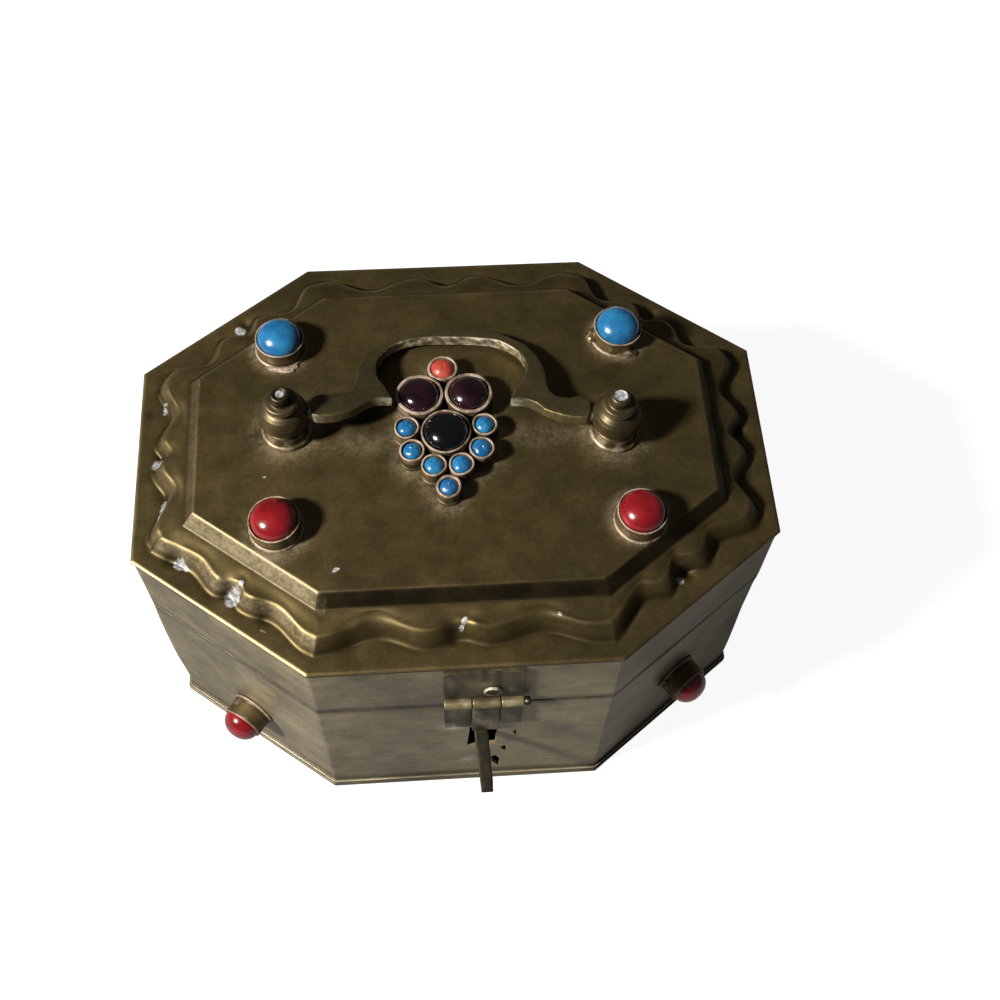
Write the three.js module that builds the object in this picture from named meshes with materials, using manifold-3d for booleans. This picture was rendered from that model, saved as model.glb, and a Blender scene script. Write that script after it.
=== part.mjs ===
// Eight-sided brass trinket box with a hinged lid, a swinging handle and cups of coloured stones.
// Millimetres, +Z up. The origin is the middle of the underside. +X is to the right and -Y to the front.
import * as THREE from 'three';
import { mergeVertices } from 'three/addons/utils/BufferGeometryUtils.js';
import Module from 'manifold-3d';

const wasm = await Module();
wasm.setup();

// Plan and heights of the box
const RIM_WIDTH = 178;
const RIM_DEPTH = 132;
const CHAMFER_X = 47.3;
const CHAMFER_Y = 35.6;
const RIM_HEIGHT = 95.5;
const SEAM_HEIGHT = 67;
const SEAM_GAP = 0.4;
const SHEET = 1.2;
const RIM_OVERHANG = 0.4;
const BASE_SHEET = 1.6;
const BASE_REACH = 0.9;
const FLANGE_SHEET = 1;
const FLANGE_WIDTH = 0.8;

// Clearances
const FIT = 0.15;
const RUN_FIT = 0.3;
const REST_GAP = 0.4;

// Pressed relief of the lid, all measured inwards or upwards from the rim
const STEP_RUN = 3.3;
const STEP_RISE = 4.2;
const TERRACE_RISE = 1.4;
const PANEL_SLOPE_RUN = 3.6;
const PANEL_SLOPE_RISE = 3.8;
const PANEL_INSET = 18.1;
const CREST_SHARE = 0.37;
const CORNER_SHARE = 0.34;
const TROUGH_SHARE = 0.74;
const NOTCH_SHARE = 0.86;
const CREST_PLACE_LONG = 0.24;
const CREST_PLACE_SHORT = 0.17;
const TROUGH_PLACE = 0.63;
const COLUMNS_BETWEEN = [2, 3, 2];

// Cups and the cabochons in them. The places of the four lid cups are measured from the panel's edges. A
// side cup's shift is along its wall, towards the front, and its place is its height.
const CUP_FLOOR = 0.8;
const CUP_RING_HEIGHT = 1;
const LID_CUP = { radius: 6.9, wall: 0.7, ring: 0.8, height: 5.6, dome: 4.2 };
const SIDE_CUP = { radius: 6.4, wall: 0.6, ring: 0.8, height: 6, dome: 4.6 };
const LID_CUP_FROM_SIDE = 22.2;
const LID_CUP_FROM_FRONT = 18.9;
const LID_CUP_FROM_BACK = 17.4;
const SIDE_CUP_SHIFT = { left: 0.5, right: -0.8 };
const SIDE_CUP_PLACE = { left: 26, right: 36 };
const CUP_SEGMENTS = 16;
const DOME_STEPS = 4;

// Cluster of soldered cups in the middle of the lid, laid out round its black stone
const CLUSTER_X = -2.3;
const CLUSTER_Y = -3.4;
const CLUSTER_HEIGHT = 5.4;
const CLUSTER_RING = 0.6;
const CLUSTER_SEGMENTS = 12;
const CLUSTER_DOME_STEPS = 3;
const CLUSTER_DOME_SHARE = 0.62;
const SOLDER = 0.5;
const BLACK_CUP = { radius: 6.9, wall: 0.8 };
const GARNET_CUP = { radius: 6.6, wall: 1.3 };
const CORAL_CUP = { radius: 4.2, wall: 0.95 };
const TURQUOISE_CUP = { radius: 3.5, wall: 0.85 };
const TIP_CUP = { radius: 3.5, wall: 0.95 };

// Posts and handle. The line through the posts is a little askew, as it was soldered on by hand.
const POST_SPAN = 90.8;
const POST_MIDDLE_X = -0.8;
const POST_MIDDLE_Y = 0.5;
const POST_SKEW = 3.2 * THREE.MathUtils.DEG2RAD;
const POST_BULB = 7;
const POST_HEIGHT = 19;
const BULB_PLACE = 0.447;
const POST_SEGMENTS = 16;
const HANDLE_THICKNESS = 3.3;
const HANDLE_REACH = 33;
const ARCH_HALF = 26.4;
const TRUNNION_RADIUS = 1.3;
const TRUNNION_DEPTH = 3.6;

// Hasp on the front of the lid, the slot in the box below it and the bar that comes out of the slot.
// Heights of the hasp are measured from its pin, and the slot's from the tongue's end.
const HASP_MIDDLE = 4.8;
const HASP_WIDTH = 22;
const TONGUE_MIDDLE = 5.5;
const TONGUE_WIDTH = 7.7;
const TONGUE_LENGTH = 24.4;
const LEFT_TAB_LENGTH = 20.8;
const RIGHT_TAB_LENGTH = 19.1;
const PIN_ABOVE_SEAM = 5.7;
const LEAF_BELOW_RIM = 1.5;
const KNUCKLE_RADIUS = 1.6;
const KNUCKLE_SEGMENTS = 14;
const PIN_RADIUS = 0.8;
const PIN_HEAD = { radius: 1.3, length: 1.7 };
const LEAF_SHEET = 1.2;
const RIVET_ASIDE = 2.4;
const RIVET_ABOVE_PIN = 7.9;
const RIVET_HEAD = 2.7;
const RIVET_RISE = 0.9;
const RIVET_SHANK = 1.3;
const RIVET_CROWN = 0.8;
const SLOT_MIDDLE = 4.8;
const SLOT_WIDTH = 8.8;
const SLOT_HEIGHT = 17.4;
const SLOT_BELOW_TONGUE = 1.7;
const BAR_ASIDE = -0.4;
const BAR_WIDTH = 4.2;
const BAR_THICKNESS = 1.4;
const BAR_REACH = 17.2;
const BAR_DROP = 7.6;
const BAR_DRIFT = 0.06;
const BAR_FOOT = 12;

// Hinge at the back
const HINGE_WIDTH = 44;
const HINGE_LEAF_HEIGHT = 15;
const HINGE_MIDDLE_SHARE = 0.4;

// Places worked out from the sizes above
const WALL_INSET = RIM_OVERHANG;
const WALL_FRONT = -(RIM_DEPTH / 2 - WALL_INSET);
const WALL_BACK = RIM_DEPTH / 2 - WALL_INSET;
const SLOPE_FOOT_INSET = PANEL_INSET - PANEL_SLOPE_RUN;
const PANEL_RISE = STEP_RISE + TERRACE_RISE + PANEL_SLOPE_RISE;
const PANEL_HEIGHT = RIM_HEIGHT + PANEL_RISE;
const WAVE_ROOM = SLOPE_FOOT_INSET - STEP_RUN;
const WALL_TO_PIN = KNUCKLE_RADIUS + REST_GAP;
const KNUCKLE_ROOM = KNUCKLE_RADIUS + RUN_FIT + REST_GAP;
const HASP_PIN_HEIGHT = SEAM_HEIGHT + PIN_ABOVE_SEAM;
const SLOT_TOP = HASP_PIN_HEIGHT - TONGUE_LENGTH - SLOT_BELOW_TONGUE;
const PIVOT_HEIGHT = POST_HEIGHT * BULB_PLACE;
const PIVOT_Z = PANEL_HEIGHT + PIVOT_HEIGHT;
const HANDLE_DROP = PIVOT_HEIGHT - REST_GAP - HANDLE_THICKNESS / 2;
const HANDLE_LEAN = Math.asin(HANDLE_DROP / HANDLE_REACH);

const finishes = {
  lid_brass: { color: 0x4a4028, metalness: 0.9, roughness: 0.45 },
  wall_brass: { color: 0x6e6858, metalness: 0.85, roughness: 0.5 },
  fitting_brass: { color: 0x6b5f3c, metalness: 0.9, roughness: 0.5 },
  bezel_metal: { color: 0xa59687, metalness: 0.9, roughness: 0.45 },
  turquoise_stone: { color: 0x2b87c4, metalness: 0, roughness: 0.25 },
  red_stone: { color: 0xa51c26, metalness: 0, roughness: 0.2 },
  coral_stone: { color: 0xd0562f, metalness: 0, roughness: 0.35 },
  garnet_glass: { color: 0x3a0f22, metalness: 0, roughness: 0.15 },
  black_stone: { color: 0x0b0b10, metalness: 0, roughness: 0.1 },
  tip_stone: { color: 0x1d5f9a, metalness: 0, roughness: 0.2 },
};

const box = new THREE.Group();

// A closed geometry with shared corners, no flat slivers and its faces pointing out.
function closed(source) {
  const bare = source.clone();
  bare.deleteAttribute('normal');
  bare.deleteAttribute('uv');
  const merged = mergeVertices(bare, 1e-4);
  const place = merged.attributes.position;
  const index = merged.index.array;
  const kept = [];
  const a = new THREE.Vector3();
  const b = new THREE.Vector3();
  const c = new THREE.Vector3();
  let volume = 0;
  for (let i = 0; i < index.length; i += 3) {
    const [p, q, r] = [index[i], index[i + 1], index[i + 2]];
    if (p === q || q === r || r === p) continue;
    a.fromBufferAttribute(place, p);
    b.fromBufferAttribute(place, q);
    c.fromBufferAttribute(place, r);
    volume += a.dot(b.cross(c)) / 6;
    kept.push(p, q, r);
  }
  if (volume < 0) {
    kept.reverse();
  }
  merged.setIndex(kept);
  return merged;
}

function toSolid(geometry) {
  const ready = closed(geometry);
  const vertProperties = new Float32Array(ready.attributes.position.array);
  const triVerts = new Uint32Array(ready.index.array);
  return new wasm.Manifold(new wasm.Mesh({ numProp: 3, vertProperties, triVerts }));
}

function fromSolid(solid) {
  const mesh = solid.getMesh();
  const geometry = new THREE.BufferGeometry();
  geometry.setAttribute('position', new THREE.BufferAttribute(new Float32Array(mesh.vertProperties), 3));
  geometry.setIndex(new THREE.BufferAttribute(new Uint32Array(mesh.triVerts), 1));
  return geometry;
}

function joined(geometries) {
  const solids = geometries.map(toSolid);
  return fromSolid(solids.reduce((sum, next) => sum.add(next)));
}

function cut(geometry, tools) {
  const start = toSolid(geometry);
  return fromSolid(tools.map(toSolid).reduce((rest, tool) => rest.subtract(tool), start));
}

function piece(name, finish, geometry, parent = box) {
  const material = new THREE.MeshStandardMaterial(finishes[finish]);
  material.name = finish;
  const ready = closed(geometry);
  ready.computeVertexNormals();
  const mesh = new THREE.Mesh(ready, material);
  mesh.name = name;
  parent.add(mesh);
  return mesh;
}

// A box given by its lowest and highest corner.
function block(low, high) {
  const size = high.map((value, axis) => value - low[axis]);
  const middle = high.map((value, axis) => (value + low[axis]) / 2);
  return new THREE.BoxGeometry(...size).translate(...middle);
}

// A profile of [radius, height] turned about the Z axis.
function turned(profile, segments) {
  const points = profile.map(([radius, height]) => new THREE.Vector2(radius, height));
  return new THREE.LatheGeometry(points, segments).rotateX(Math.PI / 2);
}

// A rod along X between two places.
function rod(radius, from, to, y, z, segments = KNUCKLE_SEGMENTS) {
  const cylinder = new THREE.CylinderGeometry(radius, radius, to - from, segments);
  return cylinder.rotateZ(Math.PI / 2).translate((from + to) / 2, y, z);
}

// Corners of the rim's outline moved inwards by inset, anticlockwise from the front end of the right side.
function octagon(inset) {
  const halfWidth = RIM_WIDTH / 2 - inset;
  const halfDepth = RIM_DEPTH / 2 - inset;
  const slant = Math.hypot(CHAMFER_X, CHAMFER_Y);
  const across = CHAMFER_Y / slant;
  const along = CHAMFER_X / slant;
  const reach = (across * RIM_WIDTH) / 2 + along * (RIM_DEPTH / 2 - CHAMFER_Y) - inset;
  const sideEnd = (reach - across * halfWidth) / along;
  const frontEnd = (reach - along * halfDepth) / across;
  const corners = [
    [halfWidth, -sideEnd],
    [halfWidth, sideEnd],
    [frontEnd, halfDepth],
    [-frontEnd, halfDepth],
    [-halfWidth, sideEnd],
    [-halfWidth, -sideEnd],
    [-frontEnd, -halfDepth],
    [frontEnd, -halfDepth],
  ];
  return corners.map(([x, y]) => new THREE.Vector2(x, y));
}

function plate(inset, low, high) {
  const shape = new THREE.Shape(octagon(inset));
  return new THREE.ExtrudeGeometry(shape, { depth: high - low, bevelEnabled: false }).translate(0, 0, low);
}

function band(outer, inner, low, high) {
  const shape = new THREE.Shape(octagon(outer));
  shape.holes.push(new THREE.Path(octagon(inner)));
  return new THREE.ExtrudeGeometry(shape, { depth: high - low, bevelEnabled: false }).translate(0, 0, low);
}

// Where the foot of the wavy step runs. Place is 0 at the middle of a side and 1 at its corners. The line
// leaves the notch at the middle, swings out to a crest, in to a trough and out again at the corner.
function waveInset(place, crestPlace) {
  const stops = [
    [0, NOTCH_SHARE],
    [crestPlace, CREST_SHARE],
    [TROUGH_PLACE, TROUGH_SHARE],
    [1, CORNER_SHARE],
  ];
  const next = Math.max(1, stops.findIndex(([at]) => place <= at));
  const [fromPlace, fromShare] = stops[next - 1];
  const [toPlace, toShare] = stops[next];
  const turn = (1 - Math.cos((Math.PI * (place - fromPlace)) / (toPlace - fromPlace))) / 2;
  return WAVE_ROOM * (fromShare + (toShare - fromShare) * turn);
}

// Places of the columns along one side, from -1 to 1, closest where the wave turns.
function columnPlaces(crestPlace) {
  const stops = [0, crestPlace, TROUGH_PLACE, 1];
  const half = COLUMNS_BETWEEN.flatMap((count, stretch) => {
    const step = (stops[stretch + 1] - stops[stretch]) / count;
    return Array.from({ length: count }, (_, index) => stops[stretch] + index * step);
  });
  const mirrored = half.slice(1).map((place) => -place);
  return [-1, ...mirrored.reverse(), ...half];
}

// Section of the pressed lid at one column, as [inset, height above the rim], from the edge to the panel.
function lidSection(foot) {
  return [
    [0, 0],
    [foot, 0],
    [foot + STEP_RUN, STEP_RISE],
    [SLOPE_FOOT_INSET, STEP_RISE + TERRACE_RISE],
    [PANEL_INSET, PANEL_RISE],
  ];
}

// One column of the sheet: a point for each ring, on the line between two corners of each offset outline.
function lidColumn(side, place, crestPlace) {
  const share = (place + 1) / 2;
  return lidSection(waveInset(Math.abs(place), crestPlace)).map(([inset, rise]) => {
    const corners = octagon(inset);
    const point = corners[side].clone().lerp(corners[(side + 1) % corners.length], share);
    return [point.x, point.y, RIM_HEIGHT + rise];
  });
}

// The sheet: rings joined column to column on the upper and the under face, a fan of triangles over the
// flat panel on both, and a strip round the rim's edge.
function lidSheet() {
  const columns = [];
  for (let side = 0; side < octagon(0).length; side += 1) {
    const crestPlace = side % 4 === 2 ? CREST_PLACE_LONG : CREST_PLACE_SHORT;
    for (const place of columnPlaces(crestPlace)) {
      columns.push(lidColumn(side, place, crestPlace));
    }
  }
  const rings = columns[0].length;
  const upper = [...columns.flat(), [0, 0, PANEL_HEIGHT]];
  const under = upper.map(([x, y, z]) => [x, y, z - SHEET]);
  const middle = upper.length - 1;
  const faces = [];
  for (let column = 0; column < columns.length; column += 1) {
    const here = column * rings;
    const there = ((column + 1) % columns.length) * rings;
    for (let ring = 0; ring < rings - 1; ring += 1) {
      faces.push([here + ring, there + ring, there + ring + 1]);
      faces.push([here + ring, there + ring + 1, here + ring + 1]);
    }
    faces.push([here + rings - 1, there + rings - 1, middle]);
  }
  const underFaces = faces.map(([p, q, r]) => [p + upper.length, r + upper.length, q + upper.length]);
  const edge = columns.flatMap((_, column) => {
    const here = column * rings;
    const there = ((column + 1) % columns.length) * rings;
    return [
      [here, here + upper.length, there + upper.length],
      [here, there + upper.length, there],
    ];
  });
  const geometry = new THREE.BufferGeometry();
  const places = new Float32Array([...upper, ...under].flat());
  geometry.setAttribute('position', new THREE.BufferAttribute(places, 3));
  geometry.setIndex([...faces, ...underFaces, ...edge].flat());
  return geometry;
}

// A cup with a foot ring, standing on z = 0 and open above.
function cup({ radius, wall, ring, height }, segments = CUP_SEGMENTS) {
  const bore = radius - wall;
  return turned(
    [
      [0, 0],
      [radius + ring, 0],
      [radius + ring, CUP_RING_HEIGHT],
      [radius, CUP_RING_HEIGHT],
      [radius, height],
      [bore, height],
      [bore, CUP_FLOOR],
      [0, CUP_FLOOR],
    ],
    segments,
  );
}

// The hollow of a cup, a little taller than the cup is.
function cupBore({ radius, wall, height }, segments) {
  const cylinder = new THREE.CylinderGeometry(radius - wall, radius - wall, height, segments);
  return cylinder.rotateX(Math.PI / 2).translate(0, 0, height / 2 + CUP_FLOOR);
}

// A cabochon that fills its cup and stands proud of it as a low dome.
function cabochon({ radius, wall, height, dome }, segments = CUP_SEGMENTS, steps = DOME_STEPS) {
  const stone = radius - wall - FIT;
  const girdle = height - FIT;
  const profile = [
    [0, CUP_FLOOR + FIT],
    [stone, CUP_FLOOR + FIT],
  ];
  for (let step = 0; step <= steps; step += 1) {
    const angle = (Math.PI / 2) * (step / steps);
    profile.push([step === steps ? 0 : stone * Math.cos(angle), girdle + dome * Math.sin(angle)]);
  }
  return turned(profile, segments);
}

// Base plate and box walls, with the flange that is turned out at their foot
function buildBox() {
  piece('base_plate', 'wall_brass', plate(-BASE_REACH, 0, BASE_SHEET));
  const walls = band(WALL_INSET, WALL_INSET + SHEET, BASE_SHEET, SEAM_HEIGHT);
  const flange = band(WALL_INSET - FLANGE_WIDTH, WALL_INSET + SHEET, BASE_SHEET, BASE_SHEET + FLANGE_SHEET);
  const slot = block(
    [SLOT_MIDDLE - SLOT_WIDTH / 2, WALL_FRONT - SHEET, SLOT_TOP - SLOT_HEIGHT],
    [SLOT_MIDDLE + SLOT_WIDTH / 2, WALL_FRONT + 2 * SHEET, SLOT_TOP],
  );
  piece('box_walls', 'wall_brass', cut(joined([walls, flange]), [slot]));
}

// The flat bar: its foot is soldered to the inner face of the front wall, and it comes out of the slot,
// dropping a little and drifting to the right.
function buildLatchBar() {
  const inner = WALL_FRONT + SHEET;
  const slope = BAR_DROP / BAR_REACH;
  const rootZ = SLOT_TOP - BAR_THICKNESS - RUN_FIT;
  const tipY = WALL_FRONT - BAR_REACH;
  const heightAt = (y) => rootZ - (inner + BAR_THICKNESS - y) * slope;
  const profile = [
    [inner, rootZ + BAR_FOOT],
    [inner, heightAt(inner) + BAR_THICKNESS],
    [tipY, heightAt(tipY) + BAR_THICKNESS],
    [tipY, heightAt(tipY)],
    [inner + BAR_THICKNESS, rootZ],
    [inner + BAR_THICKNESS, rootZ + BAR_FOOT],
  ];
  const shape = new THREE.Shape(profile.map(([y, z]) => new THREE.Vector2(y, z)));
  const bar = new THREE.ExtrudeGeometry(shape, { depth: BAR_WIDTH, bevelEnabled: false });
  bar.rotateX(Math.PI / 2).rotateZ(Math.PI / 2).translate(SLOT_MIDDLE + BAR_ASIDE - BAR_WIDTH / 2, 0, 0);
  const drift = new THREE.Matrix4().makeShear(0, 0, -BAR_DRIFT, 0, 0, 0);
  bar.translate(0, -inner, 0).applyMatrix4(drift).translate(0, inner, 0);
  piece('latch_bar', 'fitting_brass', bar);
}

// A cup and stone on each of the two front chamfer walls
function buildSideCups() {
  const outline = octagon(WALL_INSET);
  const walls = { left: [outline[5], outline[6]], right: [outline[0], outline[7]] };
  for (const [side, [rear, front]] of Object.entries(walls)) {
    const along = front.clone().sub(rear).normalize();
    const place = rear.clone().add(front).multiplyScalar(0.5).addScaledVector(along, SIDE_CUP_SHIFT[side]);
    const sign = side === 'left' ? -1 : 1;
    const facing = new THREE.Vector3(-sign * along.y, sign * along.x, 0);
    const turn = new THREE.Group();
    turn.quaternion.setFromUnitVectors(new THREE.Vector3(0, 0, 1), facing);
    turn.position.set(place.x, place.y, SIDE_CUP_PLACE[side]).addScaledVector(facing, RUN_FIT);
    box.add(turn);
    piece(`side_bezel_${side}`, 'bezel_metal', cup(SIDE_CUP), turn);
    piece(`side_stone_${side}`, 'red_stone', cabochon(SIDE_CUP), turn);
  }
}

// Two leaves, three knuckles and a pin. The lower leaf and the pin belong to the box.
function buildHinge() {
  const axisY = WALL_BACK + WALL_TO_PIN;
  const axisZ = SEAM_HEIGHT + SEAM_GAP / 2;
  const half = HINGE_WIDTH / 2;
  const middle = half * HINGE_MIDDLE_SHARE;
  const bore = rod(PIN_RADIUS + FIT, -half - SHEET, half + SHEET, axisY, axisZ);
  const webs = (from, to, low, high) => block([from, WALL_BACK, low], [to, WALL_BACK + LEAF_SHEET, high]);
  const lower = joined([
    webs(-half, half, axisZ - HINGE_LEAF_HEIGHT, axisZ - KNUCKLE_ROOM),
    ...[[-half, -middle - RUN_FIT], [middle + RUN_FIT, half]].flatMap(([from, to]) => [
      webs(from, to, axisZ - KNUCKLE_ROOM - LEAF_SHEET, axisZ - SEAM_GAP),
      rod(KNUCKLE_RADIUS, from, to, axisY, axisZ),
    ]),
  ]);
  const upper = joined([
    webs(-half, half, axisZ + KNUCKLE_ROOM, axisZ + HINGE_LEAF_HEIGHT),
    webs(-middle, middle, axisZ + SEAM_GAP, axisZ + KNUCKLE_ROOM + LEAF_SHEET),
    rod(KNUCKLE_RADIUS, -middle, middle, axisY, axisZ),
  ]);
  piece('hinge_leaf_lower', 'fitting_brass', cut(lower, [bore]));
  piece('hinge_leaf_upper', 'fitting_brass', cut(upper, [bore]));
  piece('hinge_pin', 'fitting_brass', rod(PIN_RADIUS, -half, half, axisY, axisZ));
}

// Fixed leaf riveted to the lid's skirt, with a rolled knuckle and a short tab at each end, the tongue that
// hangs between them on the pin with its small head, and the rivet. Gives back the rivet's hole for the
// skirt.
function buildHasp() {
  const left = HASP_MIDDLE - HASP_WIDTH / 2;
  const right = HASP_MIDDLE + HASP_WIDTH / 2;
  const tongueLeft = TONGUE_MIDDLE - TONGUE_WIDTH / 2;
  const tongueRight = TONGUE_MIDDLE + TONGUE_WIDTH / 2;
  const pinY = WALL_FRONT - WALL_TO_PIN;
  const leafFace = WALL_FRONT - LEAF_SHEET;
  const tabBack = WALL_FRONT - REST_GAP;
  const tabFace = tabBack - LEAF_SHEET;
  const leafEdge = HASP_PIN_HEIGHT + KNUCKLE_ROOM;
  const leafTop = RIM_HEIGHT - SHEET - LEAF_BELOW_RIM;
  const bore = rod(PIN_RADIUS + FIT, left - SHEET, right + SHEET, pinY, HASP_PIN_HEIGHT);
  const hole = rivetShank(RIVET_SHANK + FIT, leafFace - SHEET, WALL_FRONT + 2 * SHEET);
  const ends = [
    [left, tongueLeft - RUN_FIT, LEFT_TAB_LENGTH],
    [tongueRight + RUN_FIT, right, RIGHT_TAB_LENGTH],
  ];
  const leaf = joined([
    block([left, leafFace, leafEdge], [right, WALL_FRONT, leafTop]),
    ...ends.flatMap(([from, to, length]) => [
      block([from, leafFace, HASP_PIN_HEIGHT], [to, WALL_FRONT, leafEdge + LEAF_SHEET]),
      rod(KNUCKLE_RADIUS, from, to, pinY, HASP_PIN_HEIGHT),
      block([from, tabFace, HASP_PIN_HEIGHT - length], [to, tabBack, HASP_PIN_HEIGHT]),
    ]),
  ]);
  piece('hasp_leaf', 'fitting_brass', cut(leaf, [bore, hole]));
  const headStart = right + FIT;
  const pin = joined([
    rod(PIN_RADIUS, left, headStart + PIN_HEAD.length / 2, pinY, HASP_PIN_HEIGHT),
    rod(PIN_HEAD.radius, headStart, headStart + PIN_HEAD.length, pinY, HASP_PIN_HEIGHT),
  ]);
  piece('hasp_pin', 'fitting_brass', pin);
  const tongueEnd = HASP_PIN_HEIGHT - TONGUE_LENGTH;
  const tongue = joined([
    rod(KNUCKLE_RADIUS, tongueLeft, tongueRight, pinY, HASP_PIN_HEIGHT),
    block([tongueLeft, tabFace, tongueEnd], [tongueRight, tabBack, HASP_PIN_HEIGHT]),
  ]);
  piece('hasp_tongue', 'fitting_brass', cut(tongue, [bore]));
  piece('hasp_rivet', 'fitting_brass', rivet(leafFace - FIT, WALL_FRONT + SHEET + FIT));
  return hole;
}

// A rod along Y at the rivet's place.
function rivetShank(radius, from, to) {
  const cylinder = new THREE.CylinderGeometry(radius, radius, to - from, KNUCKLE_SEGMENTS);
  return cylinder.translate(HASP_MIDDLE + RIVET_ASIDE, (from + to) / 2, HASP_PIN_HEIGHT + RIVET_ABOVE_PIN);
}

// A low domed head in front, a shank and a hammered tail behind.
function rivet(front, back) {
  const crown = RIVET_HEAD * RIVET_CROWN;
  const profile = [
    [0, 0],
    [RIVET_HEAD, 0],
    [crown, RIVET_RISE * RIVET_CROWN],
    [0, RIVET_RISE],
  ];
  const head = turned(profile, KNUCKLE_SEGMENTS).rotateX(Math.PI / 2);
  head.translate(HASP_MIDDLE + RIVET_ASIDE, front, HASP_PIN_HEIGHT + RIVET_ABOVE_PIN);
  const shank = rivetShank(RIVET_SHANK, front - RIVET_RISE / 2, back + RIVET_RISE / 2);
  return joined([head, shank, rivetShank(crown, back, back + RIVET_RISE)]);
}

function buildLid(rivetHole) {
  piece('lid_top', 'lid_brass', lidSheet());
  const skirt = band(WALL_INSET, WALL_INSET + SHEET, SEAM_HEIGHT + SEAM_GAP, RIM_HEIGHT - SHEET);
  piece('lid_skirt', 'wall_brass', cut(skirt, [rivetHole]));
}

// Four large cups near the corners of the panel, red in front and turquoise behind
function buildLidCups() {
  const halfPanel = RIM_WIDTH / 2 - PANEL_INSET;
  const panelEnd = RIM_DEPTH / 2 - PANEL_INSET;
  const rows = [
    { place: 'front', y: LID_CUP_FROM_FRONT - panelEnd, finish: 'red_stone' },
    { place: 'back', y: panelEnd - LID_CUP_FROM_BACK, finish: 'turquoise_stone' },
  ];
  for (const { place, y, finish } of rows) {
    for (const [side, sign] of [['left', -1], ['right', 1]]) {
      const x = sign * (halfPanel - LID_CUP_FROM_SIDE);
      piece(`bezel_${place}_${side}`, 'bezel_metal', cup(LID_CUP).translate(x, y, PANEL_HEIGHT));
      piece(`stone_${place}_${side}`, finish, cabochon(LID_CUP).translate(x, y, PANEL_HEIGHT));
    }
  }
}

// How far up or down a cup goes to touch another that is half aside of it.
function rise(first, second, half) {
  return Math.sqrt((first.radius + second.radius + SOLDER) ** 2 - half ** 2);
}

// The cups of the cluster, each touching its neighbours over a line of solder: two garnets above the black
// stone with coral above them, three turquoises down each side of it, and the tip below the lowest two.
function clusterLayout() {
  const garnetHalf = GARNET_CUP.radius + SOLDER / 2;
  const garnetY = rise(BLACK_CUP, GARNET_CUP, garnetHalf);
  const coralY = garnetY + rise(GARNET_CUP, CORAL_CUP, garnetHalf);
  const orbit = BLACK_CUP.radius + TURQUOISE_CUP.radius + SOLDER;
  const lowerHalf = TURQUOISE_CUP.radius + SOLDER / 2;
  const lowest = -Math.acos(lowerHalf / orbit);
  const step = 2 * Math.asin(lowerHalf / orbit);
  const tipY = orbit * Math.sin(lowest) - rise(TURQUOISE_CUP, TIP_CUP, lowerHalf);
  const pairs = [
    { name: 'garnet', finish: 'garnet_glass', size: GARNET_CUP, half: garnetHalf, y: garnetY },
    ...['lower', 'middle', 'upper'].map((level, index) => ({
      name: `turquoise_${level}`,
      finish: 'turquoise_stone',
      size: TURQUOISE_CUP,
      half: orbit * Math.cos(lowest + index * step),
      y: orbit * Math.sin(lowest + index * step),
    })),
  ];
  return [
    { name: 'black', finish: 'black_stone', size: BLACK_CUP, x: 0, y: 0 },
    { name: 'coral', finish: 'coral_stone', size: CORAL_CUP, x: 0, y: coralY },
    { name: 'tip', finish: 'tip_stone', size: TIP_CUP, x: 0, y: tipY },
    ...pairs.map(({ half, name, ...row }) => ({ ...row, name: `${name}_left`, x: -half })),
    ...pairs.map(({ half, name, ...row }) => ({ ...row, name: `${name}_right`, x: half })),
  ];
}

// Eleven cups soldered together side by side into one setting, with a stone in each
function buildCluster() {
  const cups = [];
  const bores = [];
  for (const { name, finish, size, x, y } of clusterLayout()) {
    const dome = size.radius * CLUSTER_DOME_SHARE;
    const whole = { ...size, ring: CLUSTER_RING, height: CLUSTER_HEIGHT, dome };
    const place = [x + CLUSTER_X, y + CLUSTER_Y, PANEL_HEIGHT];
    cups.push(cup(whole, CLUSTER_SEGMENTS).translate(...place));
    bores.push(cupBore(whole, CLUSTER_SEGMENTS).translate(...place));
    const stone = cabochon(whole, CLUSTER_SEGMENTS, CLUSTER_DOME_STEPS);
    piece(`cluster_${name}`, finish, stone.translate(...place));
  }
  piece('cluster_setting', 'bezel_metal', cut(joined(cups), bores));
}

// Profile of a post as shares of the bulb's radius and of the post's height: foot, neck, bulb, groove, cap
// and nub
function postProfile() {
  const shares = [
    [0, 0],
    [1, 0],
    [1, 0.05],
    [0.9, 0.08],
    [0.83, 0.21],
    [0.7, 0.25],
    [0.81, 0.285],
    [0.96, 0.36],
    [1, BULB_PLACE],
    [0.93, 0.56],
    [0.74, 0.665],
    [0.56, 0.695],
    [0.61, 0.73],
    [0.585, 0.8],
    [0.3, 0.83],
    [0.27, 0.96],
    [0, 1],
  ];
  return shares.map(([radius, height]) => [radius * POST_BULB, height * POST_HEIGHT]);
}

// Turns and moves a geometry from the handle's own frame, where X runs through the posts, to the box.
function alongPosts(geometry) {
  return geometry.rotateZ(-POST_SKEW).translate(POST_MIDDLE_X, POST_MIDDLE_Y, 0);
}

function buildPosts() {
  const middle = POST_SPAN / 2;
  const holeEnd = middle - POST_BULB + TRUNNION_DEPTH + RUN_FIT;
  for (const [side, sign] of [['left', -1], ['right', 1]]) {
    const post = turned(postProfile(), POST_SEGMENTS).translate(sign * middle, 0, PANEL_HEIGHT);
    const ends = [sign * (middle - 2 * POST_BULB), sign * holeEnd];
    const hole = rod(TRUNNION_RADIUS + RUN_FIT, Math.min(...ends), Math.max(...ends), 0, PIVOT_Z);
    piece(`post_${side}`, 'fitting_brass', alongPosts(cut(post, [hole])));
  }
}

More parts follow.
